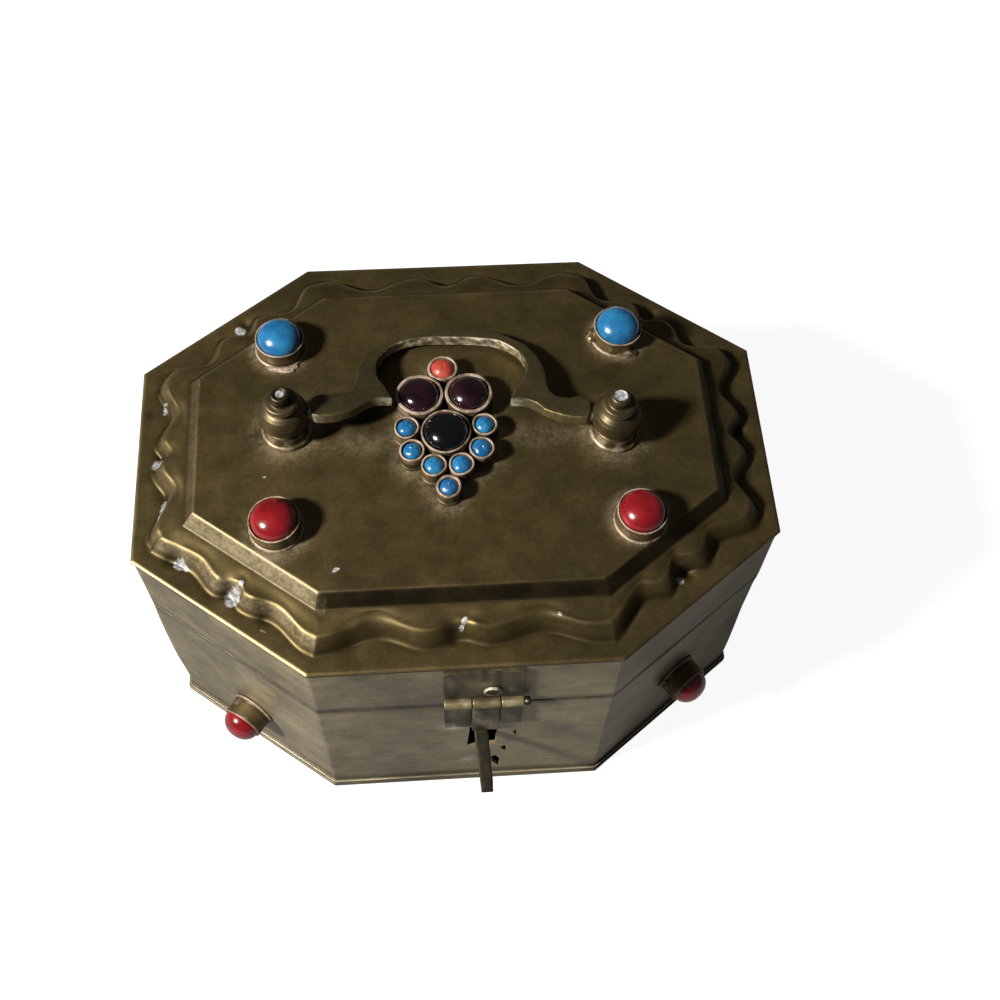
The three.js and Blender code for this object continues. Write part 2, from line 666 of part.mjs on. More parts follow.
// Outline of the handle, with Y away from the pivot line. The right half runs from the middle of the arch
// round its shoulder and out along the arm, back along the arm's under edge to the cusp, and round the
// opening. Points of the arch are shares of its half width, and points of the arm are shares of its length
// past the arch, all with Y as a share of the handle's reach.
function handleOutline(armEnd) {
  const arch = (x, y) => new THREE.Vector2(x * ARCH_HALF, y * HANDLE_REACH);
  const arm = (x, y) => new THREE.Vector2(ARCH_HALF + x * (armEnd - ARCH_HALF), y * HANDLE_REACH);
  const outer = [arch(0, 1), arch(0.38, 0.973), arch(0.66, 0.875), arch(0.86, 0.732), arch(0.97, 0.548),
    arch(1, 0.38), arm(0.05, 0.265), arm(0.24, 0.185), arm(0.53, 0.167), arm(0.79, 0.19), arm(0.97, 0.149),
    arm(1, 0.077)];
  const under = [arm(1, 0), arm(0.94, -0.048), arm(0.71, -0.057), arm(0.36, -0.036), arch(1, 0.021),
    arch(0.87, 0.107), arch(0.765, 0.146), arch(0.621, 0.152)];
  const opening = [arch(0.621, 0.152), arch(0.674, 0.256), arch(0.769, 0.393), arch(0.795, 0.548),
    arch(0.727, 0.696), arch(0.576, 0.81), arch(0.356, 0.872), arch(0, 0.887)];
  const smooth = (points, steps) => new THREE.SplineCurve(points).getPoints(steps);
  const half = [...smooth(outer, 16), ...smooth(under, 10), ...smooth(opening, 10).slice(1)];
  const other = half.slice(1, -1).reverse().map((point) => new THREE.Vector2(-point.x, point.y));
  return [...half, ...other];
}

function buildHandle() {
  const armEnd = POST_SPAN / 2 - POST_BULB - REST_GAP;
  const shape = new THREE.Shape(handleOutline(armEnd));
  const arch = new THREE.ExtrudeGeometry(shape, { depth: HANDLE_THICKNESS, bevelEnabled: false });
  arch.translate(0, 0, -HANDLE_THICKNESS / 2);
  const start = armEnd - TRUNNION_RADIUS;
  const end = armEnd + REST_GAP + TRUNNION_DEPTH;
  const trunnions = [rod(TRUNNION_RADIUS, start, end, 0, 0), rod(TRUNNION_RADIUS, -end, -start, 0, 0)];
  const handle = joined([arch, ...trunnions]).rotateX(-HANDLE_LEAN).translate(0, 0, PIVOT_Z);
  piece('handle', 'fitting_brass', alongPosts(handle));
}

buildBox();
buildLatchBar();
buildSideCups();
buildHinge();
buildLid(buildHasp());
buildLidCups();
buildCluster();
buildPosts();
buildHandle();

export default box;
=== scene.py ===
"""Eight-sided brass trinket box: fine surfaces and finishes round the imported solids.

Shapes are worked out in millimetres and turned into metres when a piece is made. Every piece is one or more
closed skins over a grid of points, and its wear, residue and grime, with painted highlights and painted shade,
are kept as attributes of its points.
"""
import math

import bpy
import numpy as np
from mathutils import Matrix, Vector


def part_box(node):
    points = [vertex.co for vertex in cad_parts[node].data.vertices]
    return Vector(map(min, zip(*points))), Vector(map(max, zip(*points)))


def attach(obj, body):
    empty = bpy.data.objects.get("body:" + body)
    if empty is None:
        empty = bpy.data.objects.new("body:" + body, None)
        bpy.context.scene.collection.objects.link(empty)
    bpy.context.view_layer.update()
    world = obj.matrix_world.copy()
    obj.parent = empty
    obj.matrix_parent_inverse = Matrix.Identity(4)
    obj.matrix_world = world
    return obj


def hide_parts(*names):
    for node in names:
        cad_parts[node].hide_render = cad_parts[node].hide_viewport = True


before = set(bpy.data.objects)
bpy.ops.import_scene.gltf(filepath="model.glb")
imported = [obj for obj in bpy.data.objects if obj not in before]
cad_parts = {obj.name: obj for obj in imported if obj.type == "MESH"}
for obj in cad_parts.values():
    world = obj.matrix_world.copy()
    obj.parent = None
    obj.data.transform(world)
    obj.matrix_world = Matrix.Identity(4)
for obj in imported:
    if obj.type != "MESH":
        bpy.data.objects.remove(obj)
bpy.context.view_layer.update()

MM = 0.001
TAU = 2 * math.pi


def node_box(node):
    """Lowest and highest corner of a solid, in millimetres."""
    low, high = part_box(node)
    return np.array(low) / MM, np.array(high) / MM


def node_middle(node):
    """Middle of a solid's box, in millimetres."""
    low, high = node_box(node)
    return (low + high) / 2


# Camera of the photo, found from the corners of the rim, the panel and the base
CAMERA_PLACE = (-8.19, -191.81, 419.63)
CAMERA_AIM = (14.58, 2.4, 60.0)
CAMERA_ROLL = 3.274
CAMERA_LENS = 47.66
CAMERA_SHIFT = -0.0015

# Plan of the box
CHAMFER_X = 47.3
CHAMFER_Y = 35.6
RIM_OVERHANG = 0.4
SHEET = 1.2
PLATE_REACH = 0.9
FLANGE_SHEET = 1.0
FLANGE_WIDTH = 0.8

# Pressed relief of the lid, inwards and upwards from the rim
EDGE_DROP = 0.4
EDGE_ROUND = 1.0
STEP_RUN = 4.6
STEP_RISE = 4.7
TERRACE_RISE = 0.6
STEP_EASE = 0.34
TERRACE_EASE = 0.3
SLOPE_EASE = 0.16
PANEL_SLOPE_RUN = 3.6
PANEL_SLOPE_RISE = 4.1
PANEL_INSET = 18.1
WAVE_ROOM = 11.2
SLOPE_FOOT = PANEL_INSET - PANEL_SLOPE_RUN

# Turning points of the wavy step's foot on a side: [place from -1 to 1 along it, share of the room], with the
# sides counted anticlockwise from the right one
PLAIN_WAVE = [(-1, 0.44), (-0.9, 0.38), (-0.6, 0.74), (-0.22, 0.38), (0, 0.66), (0.22, 0.38), (0.6, 0.74),
              (0.9, 0.38), (1, 0.44)]
SEEN_WAVES = {
    4: [(-1, 0.44), (-0.86, 0.36), (-0.55, 0.68), (-0.18, 0.38), (-0.03, 0.55), (0.12, 0.36), (0.46, 0.7),
        (0.86, 0.34), (1, 0.44)],
    5: [(-1, 0.44), (-0.55, 0.56), (-0.2, 0.37), (-0.02, 0.55), (0.12, 0.4), (0.5, 0.58), (0.88, 0.41), (1, 0.44)],
    6: [(-1, 0.44), (-0.6, 0.8), (-0.25, 0.46), (0, 0.66), (0.16, 0.5), (0.54, 0.76), (0.88, 0.44), (1, 0.44)],
    7: [(-1, 0.44), (-0.53, 0.74), (-0.26, 0.43), (0, 0.74), (0.24, 0.43), (0.55, 0.72), (0.9, 0.4), (1, 0.44)],
}

# Sizes taken from the solids
RIM_HALF_WIDTH, RIM_HALF_DEPTH, PANEL_HEIGHT = node_box("lid_top")[1]
RIM_HEIGHT = PANEL_HEIGHT - STEP_RISE - TERRACE_RISE - PANEL_SLOPE_RISE
SEAM_HEIGHT = node_box("box_walls")[1][2]
SKIRT_FOOT = node_box("lid_skirt")[0][2]
SKIRT_TOP = node_box("lid_skirt")[1][2]
PLATE_TOP = node_box("base_plate")[1][2]
WALL_FRONT = RIM_OVERHANG - RIM_HALF_DEPTH
WALL_BACK = -WALL_FRONT


def unevenness(points, length, seed, waves=14):
    """Smooth random heights of about -1 to 1: the mean of plane waves of one length, each with a random
    direction and phase."""
    rng = np.random.default_rng(seed)
    directions = rng.normal(size=(waves, 3))
    directions /= np.linalg.norm(directions, axis=1, keepdims=True)
    phases = rng.uniform(0, TAU, waves)
    return np.sin(points @ directions.T * (TAU / length) + phases).sum(-1) / math.sqrt(waves)


def ramp(t, ease):
    """0 to 1 as t goes from 0 to 1: straight in the middle, with a parabola over the share ease at each end."""
    t = np.clip(t, 0, 1)
    slope = 1 / (1 - ease)
    start = slope * t**2 / (2 * ease)
    end = 1 - slope * (1 - t) ** 2 / (2 * ease)
    return np.where(t < ease, start, np.where(t > 1 - ease, end, slope * (t - ease / 2)))


def bump(distance, width):
    """A bell of height 1 that has fallen to a third at the given distance."""
    return np.exp(-((distance / width) ** 2))


def spline(points, samples):
    """Points on the curve through the given points: each stretch is the cubic whose slope at a point is half
    the way between its two neighbours."""
    points = np.asarray(points, float)
    padded = np.vstack([points[:1], points, points[-1:]])
    t = np.linspace(0, len(points) - 1, samples) if np.isscalar(samples) else np.asarray(samples, float)
    k = np.minimum(t.astype(int), len(points) - 2)
    f = (t - k)[:, None]
    before, start, end, after = (padded[k + shift] for shift in range(4))
    return 0.5 * (
        2 * start
        + (end - before) * f
        + (2 * before - 5 * start + 4 * end - after) * f**2
        + (3 * start - before - 3 * end + after) * f**3
    )


def resampled(points, step):
    """Points along a polyline, at about that distance from each other, its corners kept."""
    points = np.asarray(points, float)
    rows = [points[:1]]
    for start, end in zip(points[:-1], points[1:]):
        count = max(1, int(round(np.linalg.norm(end - start) / step)))
        share = np.linspace(0, 1, count + 1)[1:, None]
        rows.append(start + (end - start) * share)
    return np.vstack(rows)


def rounded(points, radius, steps=4, looped=False):
    """A polyline with each corner replaced by a quadratic curve that starts and ends the radius away from it,
    or less on short stretches."""
    points = np.asarray(points, float)
    count = len(points)
    rows = []
    t = np.linspace(0, 1, steps + 1)[:, None]
    for index in range(count):
        corner = points[index]
        if not looped and index in (0, count - 1):
            rows.append(corner[None])
            continue
        before = points[index - 1]
        after = points[(index + 1) % count]
        reach_in = min(radius, 0.45 * np.linalg.norm(before - corner))
        reach_out = min(radius, 0.45 * np.linalg.norm(after - corner))
        start = corner + (before - corner) / max(np.linalg.norm(before - corner), 1e-9) * reach_in
        end = corner + (after - corner) / max(np.linalg.norm(after - corner), 1e-9) * reach_out
        rows.append(start * (1 - t) ** 2 + corner * 2 * t * (1 - t) + end * t**2)
    return np.vstack(rows)


def skin(rows, looped=False):
    """Closed skin over a grid of points, with its faces outwards: the columns run round, and the first and
    last rows are shut by fans, or the rows close on each other."""
    count, around = rows.shape[:2]
    ids = np.arange(count * around).reshape(count, around)
    here = ids if looped else ids[:-1]
    above = np.roll(ids, -1, axis=0) if looped else ids[1:]
    corners = [here, np.roll(here, -1, 1), np.roll(above, -1, 1), above]
    quads = np.stack(corners, axis=-1).reshape(-1, 4)
    points = rows.reshape(-1, 3)
    fans = np.zeros((0, 3), int)
    if not looped:
        poles = np.array([rows[0].mean(0), rows[-1].mean(0)])
        low = np.stack([np.full(around, len(points)), np.roll(ids[0], -1), ids[0]], -1)
        high = np.stack([np.full(around, len(points) + 1), ids[-1], np.roll(ids[-1], -1)], -1)
        points = np.vstack([points, poles])
        fans = np.vstack([low, high])
    triangles = np.vstack([quads[:, :3], quads[:, [0, 2, 3]], fans])
    a, b, c = (points[triangles[:, k]] for k in range(3))
    if np.einsum("ij,ij->", a, np.cross(b, c)) < 0:
        quads = quads[:, ::-1]
        fans = fans[:, ::-1]
    return points, quads.tolist() + fans.tolist()


def mesh_object(name, skins):
    """One object from several skins of points and faces."""
    points = np.vstack([part[0] for part in skins])
    faces = []
    start = 0
    for part_points, part_faces in skins:
        faces += [[index + start for index in face] for face in part_faces]
        start += len(part_points)
    mesh = bpy.data.meshes.new(name)
    mesh.from_pydata((points * MM).tolist(), [], faces)
    made = bpy.data.objects.new(name, mesh)
    bpy.context.scene.collection.objects.link(made)
    return made


def cut_away(made, tools):
    """Takes the tool shapes out of an object and deletes them."""
    cutter = mesh_object(made.name + "_cutter", tools)
    change = made.modifiers.new("cut", "BOOLEAN")
    change.operation = "DIFFERENCE"
    change.solver = "EXACT"
    change.use_self = True
    change.object = cutter
    graph = bpy.context.evaluated_depsgraph_get()
    result = bpy.data.meshes.new_from_object(made.evaluated_get(graph))
    made.modifiers.clear()
    made.data = result
    bpy.data.objects.remove(cutter)


def piece(name, skins, finish, body, nodes, paint=None, tools=None, sharp=38):
    """One piece of the box. Paint is a function from its points, in millimetres, to its attributes."""
    made = mesh_object(name, skins)
    if tools:
        cut_away(made, tools)
    mesh = made.data
    mesh.materials.clear()
    mesh.materials.append(finish)
    mesh.shade_smooth()
    mesh.set_sharp_from_angle(angle=math.radians(sharp))
    if paint:
        places = np.zeros(len(mesh.vertices) * 3)
        mesh.vertices.foreach_get("co", places)
        for label, values in paint(places.reshape(-1, 3) / MM).items():
            attribute = mesh.attributes.new(label, "FLOAT", "POINT")
            attribute.data.foreach_set("value", np.clip(values, 0, 1).astype(np.float32))
    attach(made, body)
    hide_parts(*nodes)
    return made


# Plan outlines


def octagon(inset):
    """Corners of the rim's outline moved inwards by inset, anticlockwise from the front end of the right
    side. The chamfer lines keep their direction."""
    half_width = RIM_HALF_WIDTH - inset
    half_depth = RIM_HALF_DEPTH - inset
    slant = math.hypot(CHAMFER_X, CHAMFER_Y)
    across = CHAMFER_Y / slant
    along = CHAMFER_X / slant
    reach = across * RIM_HALF_WIDTH + along * (RIM_HALF_DEPTH - CHAMFER_Y) - inset
    side_end = (reach - across * half_width) / along
    front_end = (reach - along * half_depth) / across
    return np.array([
        [half_width, -side_end],
        [half_width, side_end],
        [front_end, half_depth],
        [-front_end, half_depth],
        [-half_width, side_end],
        [-half_width, -side_end],
        [-front_end, -half_depth],
        [front_end, -half_depth],
    ])


def chamfer_inset(points):
    """How far points lie inside the nearest of the four chamfer lines of the rim's outline."""
    slant = math.hypot(CHAMFER_X, CHAMFER_Y)
    reach = CHAMFER_Y * RIM_HALF_WIDTH + CHAMFER_X * (RIM_HALF_DEPTH - CHAMFER_Y)
    return (reach - CHAMFER_Y * np.abs(points[:, 0]) - CHAMFER_X * np.abs(points[:, 1])) / slant


def inset_of(points):
    """How far points lie inside the rim's outline, negative outside it."""
    straight = np.minimum(RIM_HALF_WIDTH - np.abs(points[:, 0]), RIM_HALF_DEPTH - np.abs(points[:, 1]))
    return np.minimum(straight, chamfer_inset(points))


RIM_CORNERS = octagon(0)
MITRES = octagon(0) - octagon(1)


def bent_outline(inset, radius, step):
    """Points of the outline with its corners bent to arcs, and the outward direction at each. A point on an
    arc is the arc's middle plus the radius in that direction."""
    corners = octagon(inset)
    points = []
    directions = []
    for index, corner in enumerate(corners):
        before = corners[index - 1]
        after = corners[(index + 1) % 8]
        into = (corner - before) / np.linalg.norm(corner - before)
        out = (after - corner) / np.linalg.norm(after - corner)
        first = math.atan2(-into[0], into[1])
        turn = math.atan2(into[0] * out[1] - into[1] * out[0], into @ out)
        reach = radius * math.tan(turn / 2)
        middle = corner - into * reach + np.array([-into[1], into[0]]) * radius
        angles = first + turn * np.linspace(0, 1, 7)
        facing = np.stack([np.cos(angles), np.sin(angles)], -1)
        arc = middle + radius * facing
        next_start = after - out * radius * math.tan(turn / 2)
        count = max(2, int(np.linalg.norm(next_start - arc[-1]) / step))
        share = np.linspace(0, 1, count + 1)[1:-1, None]
        straight = arc[-1] + (next_start - arc[-1]) * share
        points += [arc, straight]
        directions += [facing, np.repeat(facing[-1:], len(straight), 0)]
    return np.vstack(points), np.vstack(directions)


def band_rows(section, inset, radius, step=1.8, dents=0.0, seed=0):
    """A section of [outwards, height] points carried round the bent outline. Both faces of the sheet move
    in and out together by the dents, which die out at the section's lowest points and weaken at its highest."""
    outline, directions = bent_outline(inset, radius, step)
    section = np.asarray(section, float)
    rows = np.zeros((len(section), len(outline), 3))
    rows[..., :2] = outline[None] + directions[None] * section[:, :1, None]
    rows[..., 2] = section[:, 1:]
    if dents:
        flat = rows.copy()
        flat[..., :2] = outline[None]
        low = section[:, 1].min()
        high = section[:, 1].max()
        fade = np.clip((section[:, 1] - low) / 8, 0, 1) * np.clip((high - section[:, 1]) / 5, 0.3, 1)
        push = dents * unevenness(flat, 46, seed) + 0.4 * dents * unevenness(flat, 15, seed + 1)
        rows[..., :2] += directions[None] * (push * fade[:, None])[..., None]
    return rows


# Pressed lid

LID_COLUMNS = 72
LID_CLUSTERING = 0.5
LID_CREASE = 0.1
LID_DENT = 0.1
PANEL_RINGS = 42
# How much further back the panel's front edge lies than the same inset on the other sides
FRONT_EXTRA = 1.5

# Painted highlight and wear of proud edges, painted shade of the panel's slope and painted highlight of the rim,
# side by side as in SEEN_WAVES
EDGE_LIT = [0.12, 0.2, 0.3, 0.25, 0.06, 0.06, 0.05, 0.05]
SLOPE_SHADE = [0.4, 0, 0, 0, 0, 0, 1.0, 0.9]
RIM_LIT = [0.05, 0.05, 0.05, 0.05, 0.4, 0.4, 0.05, 0.05]

# Pinches beside the notches of the wave and small dents: [x, y, height, reach]
LID_DENTS = [
    (-62.3, -40.6, -1.5, 1.5), (-58.3, -40.5, 0.4, 1.0), (-55.5, -45.8, 0.6, 2.0), (-52.4, -48.9, -0.7, 1.7),
    (-77.3, -30.3, -0.8, 2.2), (-3.2, -56.6, -1.1, 1.9), (2.4, -56.5, 0.8, 1.8), (-29.9, -55.9, -0.5, 3.0),
    (-80.5, -10.3, -0.6, 2.2), (-82.0, 1.6, -0.8, 1.6), (61.3, -42.0, -0.9, 1.6), (57.0, -46.2, 0.5, 1.7),
    (-60.0, 46.3, -0.8, 1.6), (62.0, 44.6, -0.8, 1.6), (82.4, 2.0, -0.8, 1.7), (3.5, 57.2, -0.8, 1.8),
]


def wave_foot(side, place):
    """Inset of the foot of the wavy step. It is eased by half cosines between the turning points of its side."""
    share = np.zeros(place.shape)
    for index in range(8):
        stops = np.array(SEEN_WAVES.get(index, PLAIN_WAVE), float)
        here = side == index
        k = np.clip(np.searchsorted(stops[:, 0], place[here], side="right") - 1, 0, len(stops) - 2)
        t = (place[here] - stops[k, 0]) / (stops[k + 1, 0] - stops[k, 0])
        share[here] = stops[k, 1] + (stops[k + 1, 1] - stops[k, 1]) * (1 - np.cos(np.pi * t)) / 2
    return WAVE_ROOM * share


def relief(inset, foot):
    """Height above the rim of the pressed sheet: a rounded edge, a flat border, a crease, the eased step, the
    rising terrace, and the straighter slope up to the panel."""
    top = foot + STEP_RUN
    edge = -EDGE_DROP * np.clip(1 - inset / EDGE_ROUND, 0, 1) ** 2
    step = STEP_RISE * ramp((inset - foot) / STEP_RUN, STEP_EASE)
    terrace = TERRACE_RISE * ramp((inset - top) / (SLOPE_FOOT - top), TERRACE_EASE)
    slope = PANEL_SLOPE_RISE * ramp((inset - SLOPE_FOOT) / PANEL_SLOPE_RUN, SLOPE_EASE)
    crease = -LID_CREASE * bump(inset - foot, 0.9) * np.clip((inset - EDGE_ROUND) / 2, 0, 1)
    return edge + step + terrace + slope + crease


def lid_insets(foot):
    """Insets of the rings of one column, closer where the sheet bends, from the edge to the panel."""
    top = foot + STEP_RUN
    stretches = [
        (0 * foot, 0 * foot + EDGE_ROUND, 6),
        (0 * foot + EDGE_ROUND, foot - 1.2, 6),
        (foot - 1.2, top + 0.3, 16),
        (top + 0.3, 0 * foot + SLOPE_FOOT - 0.3, 4),
        (0 * foot + SLOPE_FOOT - 0.3, 0 * foot + PANEL_INSET + 0.6, 14),
    ]
    rings = [start + (end - start) * k / count for start, end, count in stretches for k in range(count)]
    return np.stack(rings + [0 * foot + PANEL_INSET + 0.6])


def lid_surface():
    """Rows of the lid's upper face from the edge to the middle, with the wear and painted highlight of proud edges
    and the painted shade of creases, which follow from how the height bends along each column and how lit each side
    is."""
    t = np.linspace(-1, 1, LID_COLUMNS, endpoint=False)
    places = np.tile(t - LID_CLUSTERING * np.sin(TAU * t) / TAU, 8)
    sides = np.repeat(np.arange(8), LID_COLUMNS)
    share = ((places + 1) / 2)[None, :, None]
    foot = wave_foot(sides, places)
    insets = lid_insets(foot)
    heights = relief(insets, foot)
    t = np.clip((insets - 11.0) / 3.5, 0, 1)
    extra = (FRONT_EXTRA * t**2 * (3 - 2 * t))[..., None]
    corners = np.stack([sides, (sides + 1) % 8])
    front = np.zeros((8, 2))
    front[6:] = [(-CHAMFER_X / CHAMFER_Y, 1), (CHAMFER_X / CHAMFER_Y, 1)]
    starts, ends = (RIM_CORNERS[c][None] - insets[..., None] * MITRES[c][None] + extra * front[c] for c in corners)
    plan = starts * (1 - share) + ends * share
    inner = plan[-1]
    shrink = (1 - np.linspace(0, 0.985, PANEL_RINGS + 1)[1:])[:, None, None]
    plan = np.concatenate([plan, inner[None] * shrink])
    panel = np.full((PANEL_RINGS, len(places)), PANEL_HEIGHT - RIM_HEIGHT)
    heights = np.concatenate([heights, panel])
    rows = np.concatenate([plan, heights[..., None] + RIM_HEIGHT], axis=-1)
    deeper = np.concatenate([insets, PANEL_INSET + 3 + np.arange(PANEL_RINGS)[:, None] + 0 * panel])
    bend = np.gradient(np.gradient(heights, axis=0) / np.gradient(deeper, axis=0), axis=0)
    bend = bend / np.gradient(deeper, axis=0)
    lit = np.choose(sides, EDGE_LIT)[None]
    # Edge wear is scaled by how lit each side is, a painted highlight; creases get painted shade where the side is
    # less lit.
    wear_and_highlight = np.clip(-bend / 0.9, 0, 1) * lit
    grime_and_shade = np.clip(bend / 1.2, 0, 1) * (1 - lit) * 0.8
    # Painted shade on the panel's slope of the right, front and front-right sides.
    slope_band = np.clip((insets - SLOPE_FOOT - 0.3) / 0.7, 0, 1) * np.clip((PANEL_INSET + 0.1 - insets) / 0.5, 0, 1)
    grime_and_shade[: len(insets)] += slope_band * np.choose(sides, SLOPE_SHADE)
    # Painted highlight along the rim of the left and front-left sides.
    wear_and_highlight[:3] = np.choose(sides, RIM_LIT)
    fade = np.clip(deeper / 4, 0, 1) * np.where(deeper > PANEL_INSET, 0.6, 1)
    uneven = unevenness(rows, 24, 3) * LID_DENT + unevenness(rows, 7.5, 5) * LID_DENT * 0.35
    rows[..., 2] += (uneven - LID_DENT * 0.6) * fade
    for x, y, height, reach in LID_DENTS:
        hollow = bump(np.hypot(rows[..., 0] - x, rows[..., 1] - y), reach)
        rows[..., 2] += height * hollow * np.clip(deeper / 3, 0, 1)
        grime_and_shade += 0.8 * hollow * (height < -0.6)
    return rows, wear_and_highlight, grime_and_shade


CUP_NODES = ["bezel_front_left", "bezel_front_right", "bezel_back_left", "bezel_back_right"]
POST_NODES = ["post_left", "post_right"]
STONE_OF_CLUSTER = [
    "cluster_black", "cluster_coral", "cluster_tip", "cluster_garnet_left", "cluster_garnet_right",
    "cluster_turquoise_lower_left", "cluster_turquoise_lower_right", "cluster_turquoise_middle_left",
    "cluster_turquoise_middle_right", "cluster_turquoise_upper_left", "cluster_turquoise_upper_right",
]

# Places on the lid where the patina is gone down to pale metal: [x, y, reach]
BARE_MARKS = [
    (-82.7, -1.2, 2.3), (-60.9, -43.0, 2.5), (-61.8, -44.2, 1.4), (-0.9, -55.9, 0.7), (-0.2, -54.7, 0.8),
    (0.3, -53.9, 0.6), (59.0, -44.0, 1.2), (-61.5, 44.3, 1.7), (-80.6, -13.4, 0.9), (-80.9, -15.3, 1.2),
    (-81.2, -17.6, 1.1), (-81.6, -19.4, 0.7), (-75.8, -32.2, 1.7), (-74.0, -33.4, 1.0), (-82.0, 18.4, 0.8),
    (-82.0, 16.4, 0.9), (-33.0, -40.4, 0.9), (-53.0, -52.7, 0.7), (-52.5, -11.4, 0.5), (-58.3, -40.6, 0.8),
    (25.4, -54.0, 0.6), (23.0, -54.6, 0.5),
]
DARK_SPOTS = [(-86.4, 16.0, 1.0), (-84.4, 23.5, 0.6)]


def lid_residue(points):
    """Pale haze round everything that is soldered to the panel, strongest where it touches."""
    plan = points[:, :2]
    haze_and_highlight = np.zeros(len(points))
    around = [(node, 1.5, 0.3) for node in CUP_NODES] + [(node, 3.6, 0.34) for node in POST_NODES]
    around += [(node, 3.4, 0.45) for node in STONE_OF_CLUSTER]
    for node, reach, strength in around:
        low, high = node_box(node)
        distance = np.linalg.norm(plan - node_middle(node)[:2], axis=1) - (high[0] - low[0]) / 2
        haze_and_highlight = np.maximum(haze_and_highlight, strength * bump(np.maximum(distance, 0), reach))
    arm_y = node_middle("post_left")[1] - 5.0
    arms = bump(plan[:, 1] - arm_y, 4.0) * bump(np.abs(plan[:, 0]) - 25, 13)
    return np.maximum(haze_and_highlight, 0.22 * arms) * (points[:, 2] > PANEL_HEIGHT - 1.0)


def build_lid(finish):
    """The pressed sheet of the lid: its upper face, its edge and a plainer under face."""
    rows, wear_and_highlight, grime_and_shade = lid_surface()
    for x, y, reach in DARK_SPOTS:
        grime_and_shade += 1.5 * bump(np.hypot(rows[..., 0] - x, rows[..., 1] - y), reach)
    under = rows[::2].copy()
    under[..., 2] = np.maximum(under[..., 2], RIM_HEIGHT) - SHEET
    middle = (rows[:1] + under[:1]) / 2
    whole = np.concatenate([under[::-1], middle, rows])
    blank = np.zeros((len(under), rows.shape[1]))
    # The rim's edge gets a painted highlight where the rim is lit and painted shade elsewhere.
    lit = wear_and_highlight[:1]
    edge_highlight = np.concatenate([blank[1:], lit, lit])
    edge_shade = np.concatenate([blank[1:], 1 - lit, 1 - lit])
    wear_and_highlight = np.concatenate([edge_highlight, wear_and_highlight]).ravel()
    grime_and_shade = np.concatenate([edge_shade, grime_and_shade]).ravel()

    def paint(points):
        bare = np.zeros(len(points))
        for x, y, reach in BARE_MARKS:
            bare = np.maximum(bare, bump(np.hypot(points[:, 0] - x, points[:, 1] - y), reach))
        poles = [0, 0]
        inset = inset_of(points)
        # Painted highlight, as pale haze, on the panel's slope and on the wavy step of the front-left chamfer and
        # the left side.
        slope = np.clip((inset - SLOPE_FOOT) / 0.5, 0, 1) * np.clip((PANEL_INSET + 0.3 - inset) / 0.5, 0, 1)
        band = np.clip((points[:, 2] - RIM_HEIGHT - 0.5) / 1.2, 0, 1) * np.clip((SLOPE_FOOT - inset) / 2.5, 0, 1)
        band *= points[:, 2] < RIM_HEIGHT + STEP_RISE - 0.4
        chamfer = chamfer_inset(points) < inset + 0.01
        front_left = chamfer & (points[:, 0] < 0) & (points[:, 1] < 0)
        left = ~chamfer & (np.abs(points[:, 1]) < 30) & (points[:, 0] < 0)
        return {
            "wear_and_highlight": np.concatenate([wear_and_highlight, poles]),
            "grime_and_shade": np.concatenate([grime_and_shade, poles]),
            "haze_and_highlight": np.maximum.reduce([
                lid_residue(points), slope * np.where(front_left, 0.34, np.where(left, 0.06, 0)),
                band * np.where(front_left, 0.3, np.where(left, 0.12, 0)),
            ]),
            "bare": bare,
        }

    piece("pressed_lid", [skin(whole)], finish, "lid", ["lid_top"], paint)


# Sheet walls

BEND_RADIUS = 1.8
WALL_STEP = 2.2
SEAM_ROUND = 0.16
SEAM_WANDER = 0.12
RIVET_HOLE = 1.4

# Dark pits of the front wall: [x, z, half width, half height]
WALL_PITS = [(-10.6, 45.1, 1.2, 1.1), (22.6, 37.1, 1.0, 0.8), (-20.5, 22.0, 1.0, 0.9), (27.0, 57.5, 1.3, 0.8),
             (-29.0, 52.0, 0.8, 0.8), (19.5, 50.0, 1.0, 0.6), (-7.5, 34.0, 1.1, 0.5)]


def wall_paint(points):
    """Dark along the seam, painted shade on the wall just above the flange, bright along the flange's rim and under
    the lid's rim.
    """
    z = points[:, 2]
    seam = bump(z - SEAM_HEIGHT, 0.6) + bump(z - SKIRT_FOOT, 0.6)
    outside = inset_of(points) < RIM_OVERHANG - 0.3
    flange_top = PLATE_TOP + FLANGE_SHEET
    # Painted shade on the wall just above the flange, and a dark joint line where the flange sits on the plate.
    shade_joint_and_pits = 1.2 * bump(z - flange_top - 1.2, 1.6) * ~outside + 1.4 * bump(z - PLATE_TOP - 0.1, 0.45) * outside
    for x, place, width, height in WALL_PITS:
        away = np.hypot((points[:, 0] - x) / width, (z - place) / height)
        shade_joint_and_pits = shade_joint_and_pits + 0.9 * bump(away, 1.0) * (points[:, 1] < WALL_FRONT + 1)
    rim = bump(z - flange_top, 0.45) * outside
    top = bump(z - SKIRT_TOP + 1.2, 0.6)
    front = points[:, 1] < WALL_FRONT + 1
    solder = bump(np.hypot(points[:, 0] + 2.9, (z - 47.4) * 1.6), 3.2) * front
    mark = bump(np.hypot(points[:, 0], z - 15.4), 1.4) * front
    return {"wear_and_highlight": 0.9 * rim + 0.35 * top, "grime_and_shade": shade_joint_and_pits + 1.3 * seam, "haze_and_highlight": np.maximum(solder, mark)}


def prism(corners, start, end):
    """A straight prism along Y over [x, z] corners."""
    corners = np.asarray(corners, float)
    rows = np.zeros((2, len(corners), 3))
    rows[..., 0] = corners[:, 0]
    rows[..., 2] = corners[:, 1]
    rows[0, :, 1] = start
    rows[1, :, 1] = end
    return skin(rows)


